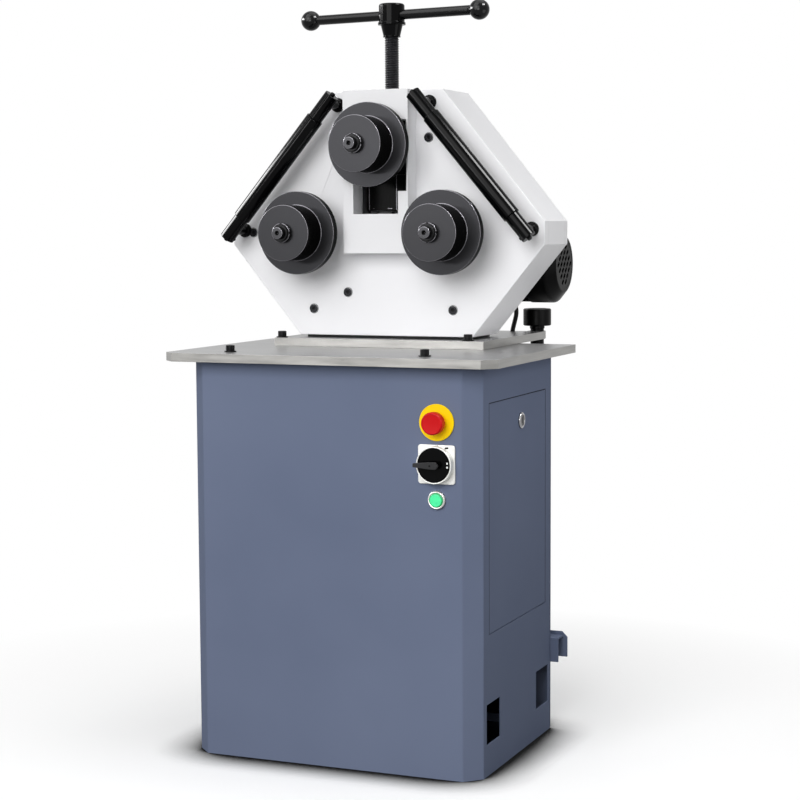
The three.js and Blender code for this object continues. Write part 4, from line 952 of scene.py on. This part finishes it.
def cross_bar():
    """A round bar through the hub with a ball on each end; a ball is the arc of its radius about
    its centre."""
    spot = np.array([0, middle("spindle")[1], middle("handle_bar")[2]])
    lean = math.radians(7.3)
    radius, ball, neck, left, right = 8.5, 17.6, 7.2, -167.6, 173.0
    t = np.linspace(0, math.pi - math.asin(neck / ball), 30)
    arc = np.stack([ball * np.sin(t), -ball * np.cos(t)], axis=-1)
    near, far = arc + (0, left), arc[::-1] * (1, -1) + (0, right)
    inner, outer = near[-1, 1], far[0, 1]
    shank, _ = filleted([(neck, inner + 0.5), (neck, inner + 2.2, 0.3), (radius, inner + 2.8, 0.8),
                         (radius, outer - 2.8, 0.8), (neck, outer - 2.2, 0.3), (neck, outer - 0.5)])
    bar = turned(np.vstack([near, shank, far]), spot, (math.cos(lean), -math.sin(lean), 0), 64)
    make("cross_bar_painted", "spindle_body", [bar], [knob_black], ["handle_bar"])


spindle()
cross_bar()


# Guide bars

def guide_bars():
    """Two slanted bars: a core with end blocks and studs to the casing, and a sleeve on the core."""
    right_top, right_low = np.array([75.0, 1.0, 1128.6]), np.array([284.0, 1.0, 883.0])
    core, end, outer, sleeve_from, sleeve_to = 7.0, 13.0, 15.3, 0.16, 0.853
    stud, boss, inset, seated = 8.0, 12.6, 18.0, FRONT_FACE - 0.3
    flange = seated - 6.0
    for name, side in (("left", -1), ("right", 1)):
        top, low = right_top * (side, 1, 1), right_low * (side, 1, 1)
        long = np.linalg.norm(low - top)
        heading = (low - top) / long
        near, far = sleeve_from * long, sleeve_to * long
        sleeve = spun([(core + 0.4, near), (outer, near, 0.8), (outer, far, 0.8), (core + 0.4, far)],
                      0.4, top, heading, ring=True)
        make(f"{name}_sleeve_painted", f"{name}_sleeve_body", [sleeve], [gloss_black],
             [f"{name}_sleeve"])
        frame_parts = [rod(end, a, b, (0.8, 0.8), top, heading)
                       for a, b in ((0, near - 0.4), (far + 0.4, long))]
        frame_parts.append(rod(core, near - 3, far + 3, (0.2, 0.2), top, heading, 40))
        for place in (inset, long - inset):
            frame_parts.append(spun([(0, top[1]), (stud, top[1]), (stud, flange, 0.8),
                                     (boss - 3, flange, 2.4), (boss, flange + 2.6, 1.6),
                                     (boss, seated, 0.3), (0, seated)], 0.3,
                                    (top + heading * place) * (1, 0, 1), Y, 64))
        make(f"guide_bar_frame_{name}_painted", "head", frame_parts, [gloss_black],
             [f"guide_bar_frame_{name}"])
        inward = np.cross(heading, Y) * side
        screws = [socket_head(4.2, 4.6, 2.1, 2.4, tip - out * 0.2, out, 48)
                  for tip, out in ((top, -heading), (low, heading))]
        set_screw = low - heading * 8 - inward * (end - 1)
        screws.append(socket_head(3.0, 2.6, 1.5, 1.4, set_screw, -inward, 48))
        make(f"guide_bar_screws_{name}", "head", screws, [black_oxide])


guide_bars()


# Gearbox, motor and cable behind the head

def fan_cover():
    """The pressed hood, and its flat end with staggered slanting slots: a slot is two half circles
    joined."""
    low, high = span("fan_cover")
    spot = (0, *middle("fan_cover")[1:])
    start, end = low[0], high[0]
    radius, face, bevel, wall, grille, sides = 69.0, 50.0, 16.0, 2.0, 44.0, 96
    hood = spun([(radius - wall, start, 0.4), (radius, start, 0.4), (radius, end - bevel, 9),
                 (face, end, 5), (grille, end, 0), (grille, end - wall, 0), (face - 1, end - wall, 3),
                 (radius - wall, end - bevel - 1, 8)], 0.4, spot, X, sides, 6, ring=True)
    long, wide, turn, rows, columns, row_gap, column_gap = 13.0, 6.5, math.radians(35), 7, 5, 10.5, 17.0
    angle = np.concatenate([np.linspace(-QUARTER, QUARTER, 9), np.linspace(QUARTER, 3 * QUARTER, 9)])
    half = (long - wide) / 2 * np.repeat([1, -1], 9)
    oval = np.stack([half + wide / 2 * np.cos(angle), wide / 2 * np.sin(angle)], axis=-1)
    slanted = oval @ np.array([[math.cos(turn), math.sin(turn)], [-math.sin(turn), math.cos(turn)]])
    slots = []
    for row in range(rows):
        level = row - (rows - 1) / 2
        for column in range(columns):
            y = (column - (columns - 1) / 2 + abs(level) % 2 / 2) * column_gap
            z = level * row_gap
            if math.hypot(y, z) < grille - 1 - long / 2:
                y_and_z = slanted + (y, z)
                slots.append(np.stack([-y_and_z[:, 1], y_and_z[:, 0]], axis=-1))
    angle = around(sides)
    circle = (grille + 0.1) * np.stack([np.cos(angle), np.sin(angle)], axis=-1)
    grating = pierced(circle, slots, end - wall + 0.1, end - 0.3, spot, X)
    make("fan_cover_pressed", "head", [hood, grating], [black_sheet], ["fan_cover"])


def motor_cable():
    """The clipped lead: straight down with one bow, whose corners are smoothed by a running mean."""
    low, high = span("motor_cable")
    x, y = low[0] + 4.0, middle("motor_cable")[1]
    bow, radius, count, window = 10.0, 4.2, 60, 21
    share = np.linspace(0, 1, count)
    shift = np.interp(share, [0, 0.1, 0.275, 0.45, 0.625, 0.8, 1], [0, 0, bow / 2, bow, bow / 2, 0, 0])
    kernel = np.hanning(window) / np.hanning(window).sum()
    shift = np.convolve(np.pad(shift, window // 2, mode="edge"), kernel, mode="valid")
    path = np.stack([x + shift, np.full(count, y), low[2] + (high[2] - low[2]) * share], axis=-1)
    make("motor_cable_sheath", "head", [tube(path, radius)], [cable_rubber], ["motor_cable"])


fan_cover()
for node, material, slot in (("gearbox", grey_casting, "grey_casting"),
                             ("motor", black_casting, "black_casting"),
                             ("fan", moulded_black, "black_plastic")):
    eased_copy(node, "cast", [material], 0.8)
motor_cable()


# Camera, floor and light

def place_camera():
    """The photograph's camera: it looks along (-sin a cos d, cos a cos d, -sin d), rolled about
    that line."""
    place, azimuth, down, roll = (1314.2, -3013.1, 905.2), 22.7693, 5.2748, -0.3113
    focal_px, photo_px, sensor = 1898.5, 800, 36.0
    a, d, r = np.radians((azimuth, down, roll)).tolist()
    ahead = np.array([-math.sin(a) * math.cos(d), math.cos(a) * math.cos(d), -math.sin(d)])
    right = np.array([math.cos(a), math.sin(a), 0])
    up = np.cross(right, ahead)
    rolled_right = math.cos(r) * right + math.sin(r) * up
    rolled_up = -math.sin(r) * right + math.cos(r) * up
    data = bpy.data.cameras.new("photo_camera")
    data.sensor_fit = "HORIZONTAL"
    data.sensor_width = sensor
    data.lens = focal_px / photo_px * sensor
    data.clip_end = 100
    camera = placed("photo_camera", data)
    turn = Matrix(np.stack([rolled_right, rolled_up, -ahead], axis=1).tolist())
    camera.matrix_world = Matrix.Translation(Vector(place) * MM) @ turn.to_4x4()
    bpy.context.scene.camera = camera


def seen_directly(tree):
    """1 for camera, glossy and transmission rays, which see the plain white room; 0 for the rays
    that light."""
    path = add(tree, "LightPath")
    both = add(tree, "Math", {"operation": "MAXIMUM"},
               {0: (path, "Is Camera Ray"), 1: (path, "Is Glossy Ray")})
    return add(tree, "Math", {"operation": "MAXIMUM"}, {0: (both, 0), 1: (path, "Is Transmission Ray")})


def grey(share):
    return (share, share, share, 1)


# A lamp's place, target, width and height, power, and whether it lights matt surfaces.
# Softboxes do; cards only show in gloss.
LAMPS = {
    "key_softbox": ((-100, -3700, 2300), (0, 0, 800), (3000, 2600), 130, True),
    "top_softbox": ((300, 200, 3400), (0, 0, 700), (2000, 2000), 29, True),
    "right_softbox": ((950, -100, 900), (250, 60, 900), (500, 500), 2.0, True),
    "left_card": ((-2570, -310, 1880), (-180, 0, 1000), (1600, 500), 130, False),
    "front_card": ((-1250, -2850, 1150), (0, 0, 1000), (1000, 120), 14, False),
    "camera_side_card": ((600, -2900, 1100), (0, 0, 1200), (900, 500), 20, False),
    "upper_right_card": ((1630, -70, 2790), (180, 0, 1000), (1000, 500), 110, False),
    "overhead_card": ((-1084, -1820, 3070), (0, 0, 1250), (2400, 3400), 120, False),
}
ROOM_LIGHT = 0.33


def light_room():
    """An even white room and the lamps."""
    world = bpy.data.worlds.new("white_room")
    tree = cleared(world)
    lighting = add(tree, "Background", {"Color": grey(1), "Strength": ROOM_LIGHT})
    white = add(tree, "Background", {"Color": grey(1)})
    mixed = add(tree, "MixShader", {},
                {0: (seen_directly(tree), 0), 1: (lighting, "Background"), 2: (white, "Background")})
    add(tree, "OutputWorld", {}, {"Surface": (mixed, "Shader")})
    bpy.context.scene.world = world
    for name, (place, target, (wide, high), power, lights_matt) in LAMPS.items():
        data = bpy.data.lights.new(name, "AREA")
        data.shape = "RECTANGLE"
        data.size, data.size_y = wide * MM, high * MM
        data.energy = power
        lamp = placed(name, data)
        lamp.visible_diffuse = lights_matt
        ahead = (Vector(target) - Vector(place)).normalized()
        side = ahead.cross(Vector((0, 0, 1))).normalized()
        turn = Matrix((side, side.cross(ahead), -ahead)).transposed()
        lamp.matrix_world = Matrix.Translation(Vector(place) * MM) @ turn.to_4x4()


def lay_floor():
    """A pale floor that keeps the object's shadow, with a painted contact shadow from ambient occlusion
    that is darkest under the cabinet's foot, and that reads as plain white further off."""
    half = 30.0
    mesh = bpy.data.meshes.new("studio_floor")
    mesh.from_pydata([(-half, -half, 0), (half, -half, 0), (half, half, 0), (-half, half, 0)], [],
                     [(0, 1, 2, 3)])
    floor = placed("studio_floor", mesh)
    material = bpy.data.materials.new("white_floor")
    tree = cleared(material)
    place = add(tree, "TexCoord")
    reach = add(tree, "VectorMath", {"operation": "LENGTH"}, {0: (place, "Object")})
    far = add(tree, "MapRange", {"From Min": 0.5, "From Max": 1.2}, {"Value": (reach, "Value")})
    matt = add(tree, "BsdfDiffuse", {"Color": grey(0.24)})
    near = add(tree, "BsdfDiffuse", {"Color": grey(0.85)})
    lift = add(tree, "Emission", {"Color": grey(1), "Strength": 0.26})
    white = add(tree, "Emission", {"Color": grey(1)})
    open_floor = add(tree, "AddShader", {}, {0: (near, "BSDF"), 1: (lift, "Emission")})
    painted_contact_shadow = add(tree, "BsdfDiffuse", {"Color": grey(0.02)})
    contact_occlusion = add(tree, "AmbientOcclusion", {"samples": 16, "Distance": 0.09})
    clear = add(tree, "MapRange", {"From Min": 0.58, "From Max": 0.99}, {"Value": (contact_occlusion, "AO")})
    lifted = add(tree, "MixShader", {},
                 {0: (clear, "Result"), 1: (painted_contact_shadow, "BSDF"), 2: (open_floor, "Shader")})
    shown = add(tree, "MixShader", {},
                {0: (far, "Result"), 1: (lifted, "Shader"), 2: (white, "Emission")})
    mixed = add(tree, "MixShader", {},
                {0: (seen_directly(tree), 0), 1: (matt, "BSDF"), 2: (shown, "Shader")})
    add(tree, "OutputMaterial", {}, {"Surface": (mixed, "Shader")})
    mesh.materials.append(material)


place_camera()
light_room()
lay_floor()
bpy.context.scene.view_settings.view_transform = "Standard"
